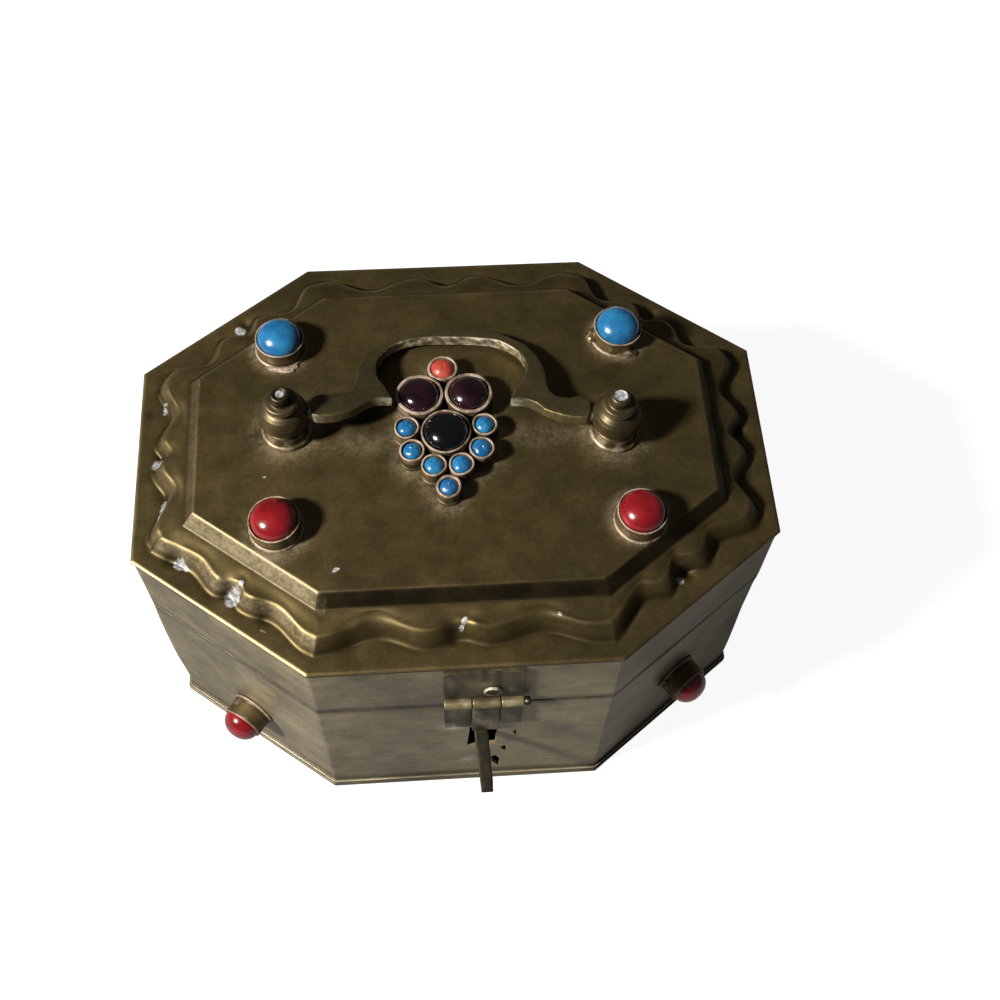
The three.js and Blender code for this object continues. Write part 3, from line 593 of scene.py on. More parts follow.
def slot_tools():
    """The rough slot for the latch bar and three small nicks beside it, all through the front wall."""
    through = (WALL_FRONT - 2 * SHEET, WALL_FRONT + 2 * SHEET)
    shapes = [
        [(0.3, 29.1), (8.9, 29.3), (9.2, 38.0), (9.1, 46.5), (1.1, 46.4), (0.8, 38.0)],
        [(13.9, 40.7), (14.4, 38.6), (15.0, 36.7), (15.1, 41.9)],
        [(10.5, 26.1), (11.4, 23.2), (12.4, 22.0), (12.2, 27.0)],
        [(8.0, 17.2), (8.3, 11.9), (10.4, 7.6), (11.0, 14.0), (9.3, 18.2)],
    ]
    return [prism(shape, *through) for shape in shapes]


def build_walls(finish):
    """The box's band with its turned-out flange, the lid's band and the base plate."""
    flange_top = PLATE_TOP + FLANGE_SHEET
    outer = rounded([
        (0, SEAM_HEIGHT), (0, flange_top), (FLANGE_WIDTH, flange_top), (FLANGE_WIDTH, PLATE_TOP),
        (-SHEET, PLATE_TOP), (-SHEET, SEAM_HEIGHT),
    ], SEAM_ROUND, 3, looped=True)
    section = resampled(outer, WALL_STEP)
    rows = band_rows(section, RIM_OVERHANG, BEND_RADIUS, dents=0.22, seed=11)
    wander = unevenness(rows, 30, 21) * SEAM_WANDER
    rows[..., 2] += wander * bump(rows[..., 2] - SEAM_HEIGHT, 2.0) - SEAM_WANDER * bump(
        rows[..., 2] - SEAM_HEIGHT, 2.0
    )
    out = np.clip(section[:, 0] / FLANGE_WIDTH, 0, 1)[:, None]
    rows[..., 2] += np.abs(unevenness(rows, 60, 23)) * 0.3 * out
    piece("box_band", [skin(rows, True)], finish, "box", ["box_walls"], wall_paint,
          slot_tools())

    loop = rounded([(0, SKIRT_TOP), (0, SKIRT_FOOT), (-SHEET, SKIRT_FOOT), (-SHEET, SKIRT_TOP)],
                   SEAM_ROUND, 3, looped=True)
    rows = band_rows(resampled(loop, WALL_STEP), RIM_OVERHANG, BEND_RADIUS, dents=0.12, seed=12)
    wander = unevenness(rows, 30, 21) * SEAM_WANDER
    rows[..., 2] += (wander + SEAM_WANDER) * bump(rows[..., 2] - SKIRT_FOOT, 2.0)
    low, high = node_box("hasp_rivet")
    hole = turned([(RIVET_HOLE, -2 * SHEET), (RIVET_HOLE, 2 * SHEET)],
                  along_y((low[0] + high[0]) / 2, WALL_FRONT, (low[2] + high[2]) / 2), 24)
    piece("lid_band", [skin(rows, True)], finish, "lid", ["lid_skirt"], wall_paint, [hole])

    outline, directions = bent_outline(-PLATE_REACH, BEND_RADIUS, 4)
    edge = rounded([(-1, 0), (0, 0), (0, PLATE_TOP), (-1, PLATE_TOP)], 0.35, 3)
    rows = np.zeros((len(edge), len(outline), 3))
    rows[..., :2] = outline[None] + directions[None] * edge[:, :1, None]
    rows[..., 2] = edge[:, 1:]
    inner = np.array([0.1, 0.5, 0.95])[:, None, None] * (1, 1, 0) + np.array([0, 0, 1])
    whole = np.concatenate([rows[:1] * inner, rows, rows[-1:] * inner[::-1]])

    def plate_paint(points):
        return {"wear_and_highlight": 0.7 * bump(points[:, 2] - 0.75, 0.35), "grime_and_shade": 0.9 * bump(points[:, 2] - PLATE_TOP, 0.5)
                + 0.7 * bump(points[:, 2] - 0.1, 0.3)}

    piece("foot_plate", [skin(whole)], finish, "box", ["base_plate"], plate_paint)


# Turned and swept shapes


def along_y(x, y, z):
    """Turns a lathe's axis from Z to -Y, out of the front wall, and moves its foot to a place."""
    return Matrix.Translation((x, y, z)) @ Matrix.Rotation(math.radians(90), 4, "X")


def along_x(x, y, z):
    """Turns a lathe's axis from Z to X and moves its foot to a place."""
    return Matrix.Translation((x, y, z)) @ Matrix.Rotation(math.radians(90), 4, "Y")


def placed(rows, matrix):
    """Points moved by a matrix."""
    matrix = np.array(matrix)
    return rows @ matrix[:3, :3].T + matrix[:3, 3]


def turned(profile, matrix, segments=64, looped=False, wobble=0.0, seed=0):
    """A profile of [radius, height] turned about Z, then placed. The radius swells and shrinks by the wobble
    two, three and five times round, and so does the height, a little."""
    profile = np.asarray(profile, float)
    angles = np.linspace(0, TAU, segments, endpoint=False)
    rng = np.random.default_rng(seed)
    swell = sum(np.cos(k * angles + rng.uniform(0, TAU)) / k for k in (2, 3, 5)) * wobble
    radius = profile[:, :1] + swell[None] * np.clip(profile[:, :1] / profile[:, 0].max(), 0, 1)
    lift = np.roll(swell, segments // 5)[None] * np.clip(profile[:, 1:] / max(profile[:, 1].max(), 1e-9), 0, 1)
    rows = np.stack([radius * np.cos(angles), radius * np.sin(angles), profile[:, 1:] + lift], -1)
    return skin(placed(rows, matrix), looped)


def section_loop(half_width, half_height, corner, steps=4):
    """A rounded rectangle, anticlockwise, as arrays with one row for each width."""
    angles = np.linspace(0, TAU / 4, steps + 1)
    quarters = []
    for quarter, (sx, sy) in enumerate([(1, 1), (-1, 1), (-1, -1), (1, -1)]):
        turn = angles + quarter * TAU / 4
        x = sx * (half_width - corner)[:, None] + corner[:, None] * np.cos(turn)
        y = sy * (half_height - corner)[:, None] + corner[:, None] * np.sin(turn)
        quarters.append(np.stack([x, y], -1))
        nxt = [(-1, 1), (-1, -1), (1, -1), (1, 1)][quarter]
        end = np.stack([nxt[0] * (half_width - corner) + corner * np.cos(turn[-1]),
                        nxt[1] * (half_height - corner) + corner * np.sin(turn[-1])], -1)
        share = np.linspace(0, 1, 5)[1:-1]
        start = quarters[-1][:, -1]
        quarters.append(start[:, None] + (end - start)[:, None] * share[:, None])
    return np.concatenate(quarters, axis=1)


def swept(first, second, up, thickness, corner=0.3, rough=0.0, seed=0):
    """A flat bar between two edge lines: at each station a rounded rectangle spans from one line to the other
    with its thickness along up. Its ends are drawn in to a small round."""
    first = np.asarray(first, float)
    second = np.asarray(second, float)
    up = np.broadcast_to(np.asarray(up, float), first.shape)
    middle = (first + second) / 2
    half_width = np.linalg.norm(first - second, axis=1) / 2
    across = (first - second) / (2 * half_width[:, None])
    forward = np.gradient(middle, axis=0)
    forward /= np.linalg.norm(forward, axis=1, keepdims=True)
    inner = [(middle[i], across[i], up[i], half_width[i], 0.0) for i in range(len(middle))]
    inner[0] = (middle[0] + forward[0] * corner, *inner[0][1:])
    inner[-1] = (middle[-1] - forward[-1] * corner, *inner[-1][1:])
    start = [(middle[0] + forward[0] * corner * k, across[0], up[0], half_width[0], corner * d)
             for k, d in ((0.0, 0.9), (0.15, 0.45), (0.5, 0.12))]
    finish = [(middle[-1] - forward[-1] * corner * k, across[-1], up[-1], half_width[-1], corner * d)
              for k, d in ((0.5, 0.12), (0.15, 0.45), (0.0, 0.9))]
    stations = start + inner + finish
    place = np.array([s[0] for s in stations])
    side = np.array([s[1] for s in stations])
    rise = np.array([s[2] for s in stations])
    width = np.array([s[3] - s[4] for s in stations])
    height = np.array([thickness / 2 - s[4] for s in stations])
    radius = np.minimum(np.full(len(width), corner), np.minimum(width, height) * 0.95)
    loop = section_loop(width, height, radius)
    rows = place[:, None] + side[:, None] * loop[..., :1] + rise[:, None] * loop[..., 1:]
    if rough:
        push = rough * (unevenness(rows, 5.5, seed) + 0.5 * unevenness(rows, 2.1, seed + 1))
        rows += side[:, None] * (push * np.sign(loop[..., 0]))[..., None]
    return skin(rows)


def slab(low, high, corner=0.25, rough=0.0, seed=0, step=1.6):
    """A flat bar along X between two corners, thin along Y."""
    low = np.asarray(low, float)
    high = np.asarray(high, float)
    count = max(3, int((high[0] - low[0]) / step))
    x = np.linspace(low[0], high[0], count)
    y = np.full(count, (low[1] + high[1]) / 2)
    top = np.stack([x, y, np.full(count, high[2])], -1)
    foot = np.stack([x, y, np.full(count, low[2])], -1)
    return swept(top, foot, (0, 1, 0), high[1] - low[1], corner, rough, seed)


def tube(radius, bore, start, end, y, z, edge=0.3):
    """A knuckle along X: a tube with rounded ends."""
    loop = rounded([(radius, 0), (radius, end - start), (bore, end - start), (bore, 0)], edge, 3, looped=True)
    return turned(resampled(loop, 1.5), along_x(start, y, z), 48, looped=True)


# Cups and stones

LID_CUP_RADIUS = 6.9
LID_CUP_WALL = 0.5
SIDE_CUP_RADIUS = 6.4
SIDE_CUP_WALL = 0.45
CUP_FLOOR = 0.8
CUP_GAP = 0.15
SIDE_CUP_HEIGHT = 6.0
LID_CUP_HEIGHT = 5.3
LID_CUP_SHIFTS = {"bezel_front_left": (0.0, 1.8), "bezel_front_right": (0.0, -0.8),
                  "bezel_back_left": (0.6, 0.2), "bezel_back_right": (-0.3, 0.0)}
CLUSTER_CUP_HEIGHT = 5.4
CLUSTER_RAISE = 0.9
SIDE_CUP_CLEARANCE = 0.3
CLUSTER_RIM_SHARES = {"black": 0.75, "garnet": 0.75, "coral": 0.8, "turquoise": 0.72, "tip": 0.85}
CLUSTER_SLACK = {
    "cluster_turquoise_upper_left": 0.15, "cluster_turquoise_middle_left": 0.25,
    "cluster_turquoise_lower_left": 0.12, "cluster_turquoise_upper_right": 0.1,
}


def cup_profile(radius, wall, height, ring, ring_height=0.9):
    """Foot ring, upright strip, rolled lip, and down inside to the floor."""
    lip = min(0.42, wall * 0.55)
    bore = radius - wall
    outline = [
        (0.02, 0), (radius + ring, 0), (radius + ring, ring_height * 0.55), (radius + ring * 0.35, ring_height),
        (radius - 0.05, ring_height * 1.15), (radius - 0.12, height * 0.55), (radius, height - 2 * lip),
        (radius, height), (bore, height), (bore, height * 0.5), (bore, CUP_FLOOR), (0.02, CUP_FLOOR),
    ]
    return resampled(rounded(outline, 0.32, 4), 0.55)


def dome_profile(radius, girdle, dome, steps=26, fullness=1.0):
    """From the middle of the stone's flat back round its girdle and over a dome, which is an ellipse whose
    height is raised to a power below one to make it fuller."""
    angles = np.linspace(0, TAU / 4, steps)[:-1]
    arc = np.stack([radius * np.cos(angles) ** fullness, girdle + dome * np.sin(angles)], -1)
    foot = [(0.02, CUP_FLOOR + CUP_GAP), (radius * 0.97, CUP_FLOOR + CUP_GAP), (radius, CUP_FLOOR + 0.5)]
    last = [(0.02, girdle + dome)]
    return np.vstack([resampled(foot, 1.2), arc, last])


def cup_paint(matrix, radius, height, seed):
    """Pale solder on the rolled lip and the foot ring, bare brass between them, painted shade inside the cup round
    the stone, and a darker band just above the foot ring.
    """
    inverse = np.array(matrix.inverted())

    def paint(points):
        local = points @ inverse[:3, :3].T + inverse[:3, 3]
        distance = np.hypot(local[:, 0], local[:, 1])
        blotch = unevenness(local, 5, seed)
        lip = np.clip((local[:, 2] - (height - 0.5 - 0.25 * blotch)) / 0.3, 0, 1)
        foot = 0.75 * np.clip((distance - radius - 0.1) / 0.2, 0, 1) * (local[:, 2] < 1.0) + 0.3 * (blotch > 0.9)
        outside = distance > radius - 0.25
        # Painted shade fills the inside of the cup, round the stone.
        return {"haze_and_highlight": np.maximum(0.8 * lip, foot), "wear_and_highlight": lip * 0.4,
                "grime_and_shade": 0.5 * bump(local[:, 2] - 1.2, 0.5) * outside + (local[:, 2] < height - 0.15) * ~outside}

    return paint


def blob(x, y, z, size, seed):
    """A lump of solder: a flattened ball with an uneven radius."""
    angles = np.linspace(0.12, math.pi - 0.12, 12)[:, None]
    turn = np.linspace(0, TAU, 20, endpoint=False)[None]
    shape = np.stack([np.sin(angles) * np.cos(turn), np.sin(angles) * np.sin(turn),
                      np.cos(angles) + 0 * turn], -1)
    swell = 1 + 0.18 * unevenness(shape, 1.1, seed)
    return skin(np.asarray([x, y, z]) + shape * swell[..., None] * np.asarray(size))


def build_lid_cups(metal, stones):
    """The four cups and stones at the panel's corners, each a little askew."""
    leans = {"bezel_front_left": (1.2, -0.8), "bezel_front_right": (0.5, 1.0),
             "bezel_back_left": (-0.8, 0.5), "bezel_back_right": (1.5, 2.6)}
    for seed, (node, lean) in enumerate(leans.items()):
        x, y, _ = node_middle(node)
        tilt = Matrix.Rotation(math.radians(lean[0]), 4, "X") @ Matrix.Rotation(math.radians(lean[1]), 4, "Y")
        x, y = x + LID_CUP_SHIFTS[node][0], y + LID_CUP_SHIFTS[node][1]
        matrix = Matrix.Translation((x, y, PANEL_HEIGHT)) @ tilt
        profile = cup_profile(LID_CUP_RADIUS, LID_CUP_WALL, LID_CUP_HEIGHT, 0.5, 0.7)
        skins = [turned(profile, matrix, 72, wobble=0.1, seed=seed)]
        if node == "bezel_back_right":
            skins.append(blob(x - 6.6, y - 0.6, PANEL_HEIGHT + 1.5, (1.9, 2.4, 2.0), 4))
            skins.append(blob(x + 2.4, y - 6.6, PANEL_HEIGHT + 0.5, (3.0, 1.3, 0.9), 5))
        if node == "bezel_back_left":
            skins.append(blob(x + 0.5, y - 6.9, PANEL_HEIGHT + 0.3, (4.2, 1.4, 0.7), 6))
        paint = cup_paint(matrix, LID_CUP_RADIUS, LID_CUP_HEIGHT, seed)
        name = node.replace("bezel", "cup")
        piece(name, skins, metal, "lid", [node], paint)
        stone = node.replace("bezel", "stone")
        slot = "red_stone" if "front" in node else "turquoise_stone"
        radius = LID_CUP_RADIUS - LID_CUP_WALL - CUP_GAP
        dome = dome_profile(radius, LID_CUP_HEIGHT - 0.5, 4.3, fullness=0.92)
        piece(node.replace("bezel", "cabochon"), [turned(dome, matrix, 72, wobble=0.03, seed=seed + 9)],
              stones[slot], "lid", [stone])


def build_side_cups(metal, stones):
    """The cup and stone on each front chamfer wall."""
    corners = octagon(RIM_OVERHANG)
    for side, (rear, front) in {"left": (5, 6), "right": (0, 7)}.items():
        along = corners[front] - corners[rear]
        along /= np.linalg.norm(along)
        sign = -1 if side == "left" else 1
        facing = Vector((-sign * along[1], sign * along[0], 0))
        middle = node_middle("side_bezel_" + side)
        wall_point = corners[rear]
        away = (middle[:2] - wall_point) @ np.array(facing[:2])
        foot = middle[:2] - np.array(facing[:2]) * (away - SIDE_CUP_CLEARANCE)
        turn = facing.to_track_quat("Z", "X").to_matrix().to_4x4()
        matrix = Matrix.Translation((foot[0], foot[1], middle[2])) @ turn
        skins = [turned(cup_profile(SIDE_CUP_RADIUS, SIDE_CUP_WALL, SIDE_CUP_HEIGHT, 0.6, 0.7), matrix, 72,
                        wobble=0.12, seed=21 + sign)]
        if side == "right":
            skins.append(blob(foot[0] - 3.6, foot[1] - 4.2, middle[2] + 1.5, (1.6, 1.5, 2.2), 8))
        paint = cup_paint(matrix, SIDE_CUP_RADIUS, SIDE_CUP_HEIGHT, 30 + sign)
        piece("side_cup_" + side, skins, metal, "box", ["side_bezel_" + side], paint)
        radius = SIDE_CUP_RADIUS - SIDE_CUP_WALL - CUP_GAP
        dome = dome_profile(radius, SIDE_CUP_HEIGHT - 0.5, 4.9, fullness=0.9)
        piece("side_cabochon_" + side, [turned(dome, matrix, 72, wobble=0.03, seed=40)],
              stones["red_stone"], "box", ["side_stone_" + side])


def build_cluster(metal, stones):
    """Eleven cups soldered side by side. Each cup is as wide as its solid stone plus its own wall."""
    walls = {"black": 0.8, "garnet": 1.3, "coral": 0.95, "turquoise": 0.85, "tip": 0.95}
    slots = {"black": "black_stone", "garnet": "garnet_glass", "coral": "coral_stone",
             "turquoise": "turquoise_stone", "tip": "tip_stone"}
    drops = {"coral": -0.7, "tip": -0.9, "garnet": 0.0, "black": 0.0, "turquoise": -0.35}
    skins = []
    places = []
    for seed, node in enumerate(STONE_OF_CLUSTER):
        kind = node.split("_")[1]
        low, high = node_box(node)
        stone = (high[0] - low[0]) / 2
        radius = stone + CUP_GAP + walls[kind]
        x, y, _ = node_middle(node)
        y += CLUSTER_RAISE
        height = CLUSTER_CUP_HEIGHT + drops[kind]
        matrix = Matrix.Translation((x, y, PANEL_HEIGHT))
        rim = walls[kind] * CLUSTER_RIM_SHARES[kind]
        skins.append(turned(cup_profile(radius, rim, height, 0.35, 0.7), matrix, 56,
                            wobble=0.14, seed=50 + seed))
        places.append((x, y, radius, height))
        size = radius - rim - 0.12 - CLUSTER_SLACK.get(node, 0.0)
        dome = dome_profile(size, height - 0.9, size * 0.62 + 0.1, fullness=0.9)
        wobble = 0.12 if kind in ("coral", "turquoise", "tip") else 0.04
        piece(node.replace("cluster", "cluster_cabochon"), [turned(dome, matrix, 56, wobble=wobble, seed=70 + seed)],
              stones[slots[kind]], "lid", [node])
    joints = [(0, 0.5), (0, 4.0), (3.0, 9.5)]
    x0, y0 = places[0][:2]
    for seed, (dx, dy) in enumerate(joints):
        skins.append(blob(x0 + dx * 0.3, y0 + dy * 1.4, PANEL_HEIGHT + 0.8, (4.5, 3.0, 1.4), 80 + seed))

    def paint(points):
        haze_and_highlight = np.zeros(len(points))
        for x, y, radius, height in places:
            distance = np.hypot(points[:, 0] - x, points[:, 1] - y)
            lip = np.clip((points[:, 2] - PANEL_HEIGHT - height + 0.9) / 0.5, 0, 1)
            haze_and_highlight = np.maximum(haze_and_highlight, lip * (distance < radius + 0.5))
        haze_and_highlight *= 0.72 + 0.3 * unevenness(points, 2.6, 92)
        low = 0.4 * (unevenness(points, 6, 91) > 0.3)
        return {"haze_and_highlight": np.maximum(haze_and_highlight, low), "wear_and_highlight": 0.3 * haze_and_highlight,
                "grime_and_shade": 0.8 * (points[:, 2] < PANEL_HEIGHT + 2.6)}

    piece("cluster_cups", skins, metal, "lid", ["cluster_setting"], paint)


# Posts and handle

POST_BULB = 7.0
POST_SKEW = 3.2
POST_SPAN = 90.8
TRUNNION_RADIUS = 1.3
TRUNNION_GAP = 0.3
TRUNNION_DEPTH = 3.6
HANDLE_THICKNESS = 3.3
HANDLE_REACH = 33.0
ARCH_HALF = 26.4
REST_GAP = 0.4
BULB_PLACE = 0.447

POST_HEIGHT = node_box("post_left")[1][2] - PANEL_HEIGHT
PIVOT_RISE = POST_HEIGHT * BULB_PLACE
HANDLE_LEAN = math.asin((PIVOT_RISE - REST_GAP - HANDLE_THICKNESS / 2) / HANDLE_REACH)
POSTS_MIDDLE = (node_middle("post_left") + node_middle("post_right")) / 2


def post_frame():
    """From the handle's own frame, with X through the posts at the pivots' height, to the box."""
    place = Matrix.Translation((POSTS_MIDDLE[0], POSTS_MIDDLE[1], PANEL_HEIGHT + PIVOT_RISE))
    return place @ Matrix.Rotation(math.radians(-POST_SKEW), 4, "Z")


def post_profile():
    """Foot, neck, bulb, groove, cap and nub, as shares of the bulb's radius and the post's height, with the
    fine steps that the lathe left on the bulb."""
    shares = [
        (0.003, 0), (0.98, 0), (1.0, 0.02), (1.0, 0.055), (0.9, 0.085), (0.86, 0.14), (0.83, 0.2), (0.72, 0.235),
        (0.7, 0.26), (0.81, 0.29), (0.93, 0.345), (0.985, 0.4), (1.0, 0.447), (0.985, 0.5), (0.92, 0.565),
        (0.8, 0.63), (0.66, 0.672), (0.57, 0.69), (0.56, 0.702), (0.66, 0.722), (0.69, 0.75), (0.67, 0.79),
        (0.6, 0.812), (0.42, 0.822), (0.39, 0.84), (0.4, 0.93), (0.37, 0.975), (0.29, 0.992), (0.19, 0.972),
        (0.003, 0.962),
    ]
    points = np.array(shares) * (POST_BULB, POST_HEIGHT)
    fine = resampled(rounded(points, 0.35, 3), 0.32)
    turns = 0.035 * np.sin(fine[:, 1] * TAU / 0.95) + 0.02 * np.sin(fine[:, 1] * TAU / 0.41)
    on_bulb = np.clip((fine[:, 0] - 3.2) / 1.0, 0, 1)
    fine[:, 0] += turns * on_bulb
    return fine


def build_posts(finish):
    """The two turned posts, each bored for the handle's trunnion."""
    base = post_frame() @ Matrix.Translation((0, 0, -PIVOT_RISE))
    half = POST_SPAN / 2
    for side, sign in (("left", -1), ("right", 1)):
        matrix = base @ Matrix.Translation((sign * half, 0, 0))
        hole_end = half - POST_BULB + TRUNNION_DEPTH + TRUNNION_GAP
        ends = sorted([sign * (half - 2 * POST_BULB), sign * hole_end])
        bore = turned([(TRUNNION_RADIUS + TRUNNION_GAP, 0), (TRUNNION_RADIUS + TRUNNION_GAP, ends[1] - ends[0])],
                      post_frame() @ along_x(ends[0], 0, 0), 28)
        inverse = np.array(matrix.inverted())

        def paint(points, inverse=inverse, side=side):
            local = points @ inverse[:3, :3].T + inverse[:3, 3]
            share = local[:, 2] / POST_HEIGHT
            blotch = unevenness(local, 4, 60)
            distance = np.hypot(local[:, 0], local[:, 1])
            white = 1.15 if side == "left" else 1.9
            nub = (share > 0.94) * np.clip((white + 0.3 * blotch - distance) / 0.25, 0, 1)
            collar = 0.6 * (share < 0.2) * np.clip(0.5 + blotch, 0, 1)
            edges = 0.5 * bump(share - 0.75, 0.025) + 0.4 * bump(share - 0.06, 0.03)
            dark_ring = (share > 0.82) * np.clip((distance - white) / 0.3, 0, 1) * (side == "left")
            return {"haze_and_highlight": 0.55 * collar, "bare": nub, "wear_and_highlight": edges,
                    "grime_and_shade": bump(share - 0.245, 0.03) + bump(share - 0.695, 0.018) + bump(share, 0.015)
                    + 0.8 * dark_ring}

        skins = [turned(post_profile(), matrix, 88, wobble=0.05, seed=60 + sign)]
        piece("turned_post_" + side, skins, finish, "lid", ["post_" + side], paint, [bore],
              sharp=60)


def build_handle(finish):
    """The sawn bracket. Its outer and inner outlines are splines through shares of the arch's half width, the
    arm's length and the reach, and each cross line of the flat bar joins matching places on the two."""
    arm_end = POST_SPAN / 2 - POST_BULB - REST_GAP

    def arch(x, y):
        return (x * ARCH_HALF, y * HANDLE_REACH)

    def arm(x, y):
        return (ARCH_HALF + x * (arm_end - ARCH_HALF), y * HANDLE_REACH)

    outer = [arch(0, 1), arch(0.38, 0.973), arch(0.66, 0.875), arch(0.86, 0.732), arch(0.97, 0.548),
             arch(1, 0.38), arm(0.05, 0.265), arm(0.24, 0.185), arm(0.53, 0.167), arm(0.79, 0.19),
             arm(0.97, 0.149), arm(1, 0.077)]
    opening = [arch(0, 0.887), arch(0.356, 0.872), arch(0.576, 0.81), arch(0.727, 0.696), arch(0.795, 0.548),
               arch(0.769, 0.393), arch(0.674, 0.256), arch(0.621, 0.152)]
    under = [arch(0.621, 0.152), arch(0.765, 0.146), arch(0.87, 0.107), arch(1, 0.021), arm(0.36, -0.036),
             arm(0.71, -0.057), arm(0.94, -0.048), arm(1, 0)]
    along_outer = np.array([0, 1, 2, 3, 4, 5, 5.55, 6.15, 6.6, 7.1, 7.7, 8.4, 9.2, 10.0, 11])
    steps = np.linspace(0, 14, 14 * 6 + 1)
    outside = spline(outer, np.interp(steps, np.arange(15), along_outer))
    inside = np.vstack([spline(opening, steps[steps < 7]), spline(under, steps[steps >= 7] - 7)])
    flip = np.array([-1, 1])
    outside = np.vstack([outside[:0:-1] * flip, outside])
    inside = np.vstack([inside[:0:-1] * flip, inside])
    bow = 0.35 * np.cos(np.clip(np.abs(outside[:, :1]) / arm_end, 0, 1) * math.pi / 2)
    first = np.hstack([outside, -0.3 * bow])
    second = np.hstack([inside, -0.3 * bow])
    bar = swept(first, second, (0, 0, 1), HANDLE_THICKNESS, 0.42, 0.1, 33)
    trunnion = [(0.02, 0), (TRUNNION_RADIUS, 0), (TRUNNION_RADIUS, 1), (TRUNNION_RADIUS, 5.0), (0.02, 5.0)]
    length = TRUNNION_RADIUS + REST_GAP + TRUNNION_DEPTH
    trunnion = resampled(rounded(np.array(trunnion) * (1, length / 5.0), 0.3, 3), 0.8)
    rods = [turned(trunnion, along_x(arm_end - TRUNNION_RADIUS, 0, 0), 28),
            turned(trunnion, Matrix.Scale(-1, 4, (1, 0, 0)) @ along_x(arm_end - TRUNNION_RADIUS, 0, 0), 28)]
    matrix = post_frame() @ Matrix.Rotation(-HANDLE_LEAN, 4, "X")
    inverse = np.array(matrix.inverted())
    skins = [(placed(points, matrix), faces) for points, faces in [bar, *rods]]

    def paint(points):
        local = points @ inverse[:3, :3].T + inverse[:3, 3]
        off_face = HANDLE_THICKNESS / 2 - np.abs(local[:, 2] + 0.1 * np.cos(local[:, 0] / arm_end))
        edge = np.clip(off_face / 0.25, 0, 1)
        inner_face = edge * (local[:, 1] < 0.93 * HANDLE_REACH)
        under_arch = inner_face * (np.abs(local[:, 0]) < 22) * (local[:, 1] > 20)
        cusp = bump(np.hypot(np.abs(local[:, 0]) - 16.5, local[:, 1] - 5), 3.2) * edge
        tip = bump(np.hypot(local[:, 0] + arm_end, local[:, 1]), 2.6) * edge
        rough = np.clip(0.5 + 0.7 * unevenness(local, 2.2, 35), 0, 1)
        return {"wear_and_highlight": 0.35 * edge, "haze_and_highlight": np.maximum.reduce([0.65 * under_arch * rough, 0.7 * cusp, 0.8 * tip])}

    piece("sawn_handle", skins, finish, "handle", ["handle"], paint, sharp=50)


# Hasp, latch bar and hinge

LEAF_SHEET = 1.2
KNUCKLE_RADIUS = 1.54
PIN_RADIUS = 0.8
PIN_FIT = 0.15
RUN_FIT = 0.3
KNUCKLE_ROOM = KNUCKLE_RADIUS + RUN_FIT + REST_GAP
BARREL_MOUTH = 1.1
PIN_HEAD_RADIUS = 1.28
PIN_HEAD_LENGTH = 1.7
LEFT_TAB_LENGTH = 20.8
RIGHT_TAB_LENGTH = 19.1
BAR_WIDTH = 4.2
BAR_THICKNESS = 1.4
BAR_TIP_WIDTH = 3.7


def fitting_paint(points):
    """Patchy wear, and residue in a few spots."""
    return {"wear_and_highlight": 0.15 + 0.25 * unevenness(points, 3.5, 77), "haze_and_highlight": 0.25 * (unevenness(points, 5.5, 78) > 1.0)}


def rod(radius, start, end, y, z, edge=0.2):
    """A round rod along X with rounded ends."""
    loop = [(0.02, 0), (radius, 0), (radius, end - start), (0.02, end - start)]
    return turned(resampled(rounded(loop, edge, 3), 1.5), along_x(start, y, z), 32)


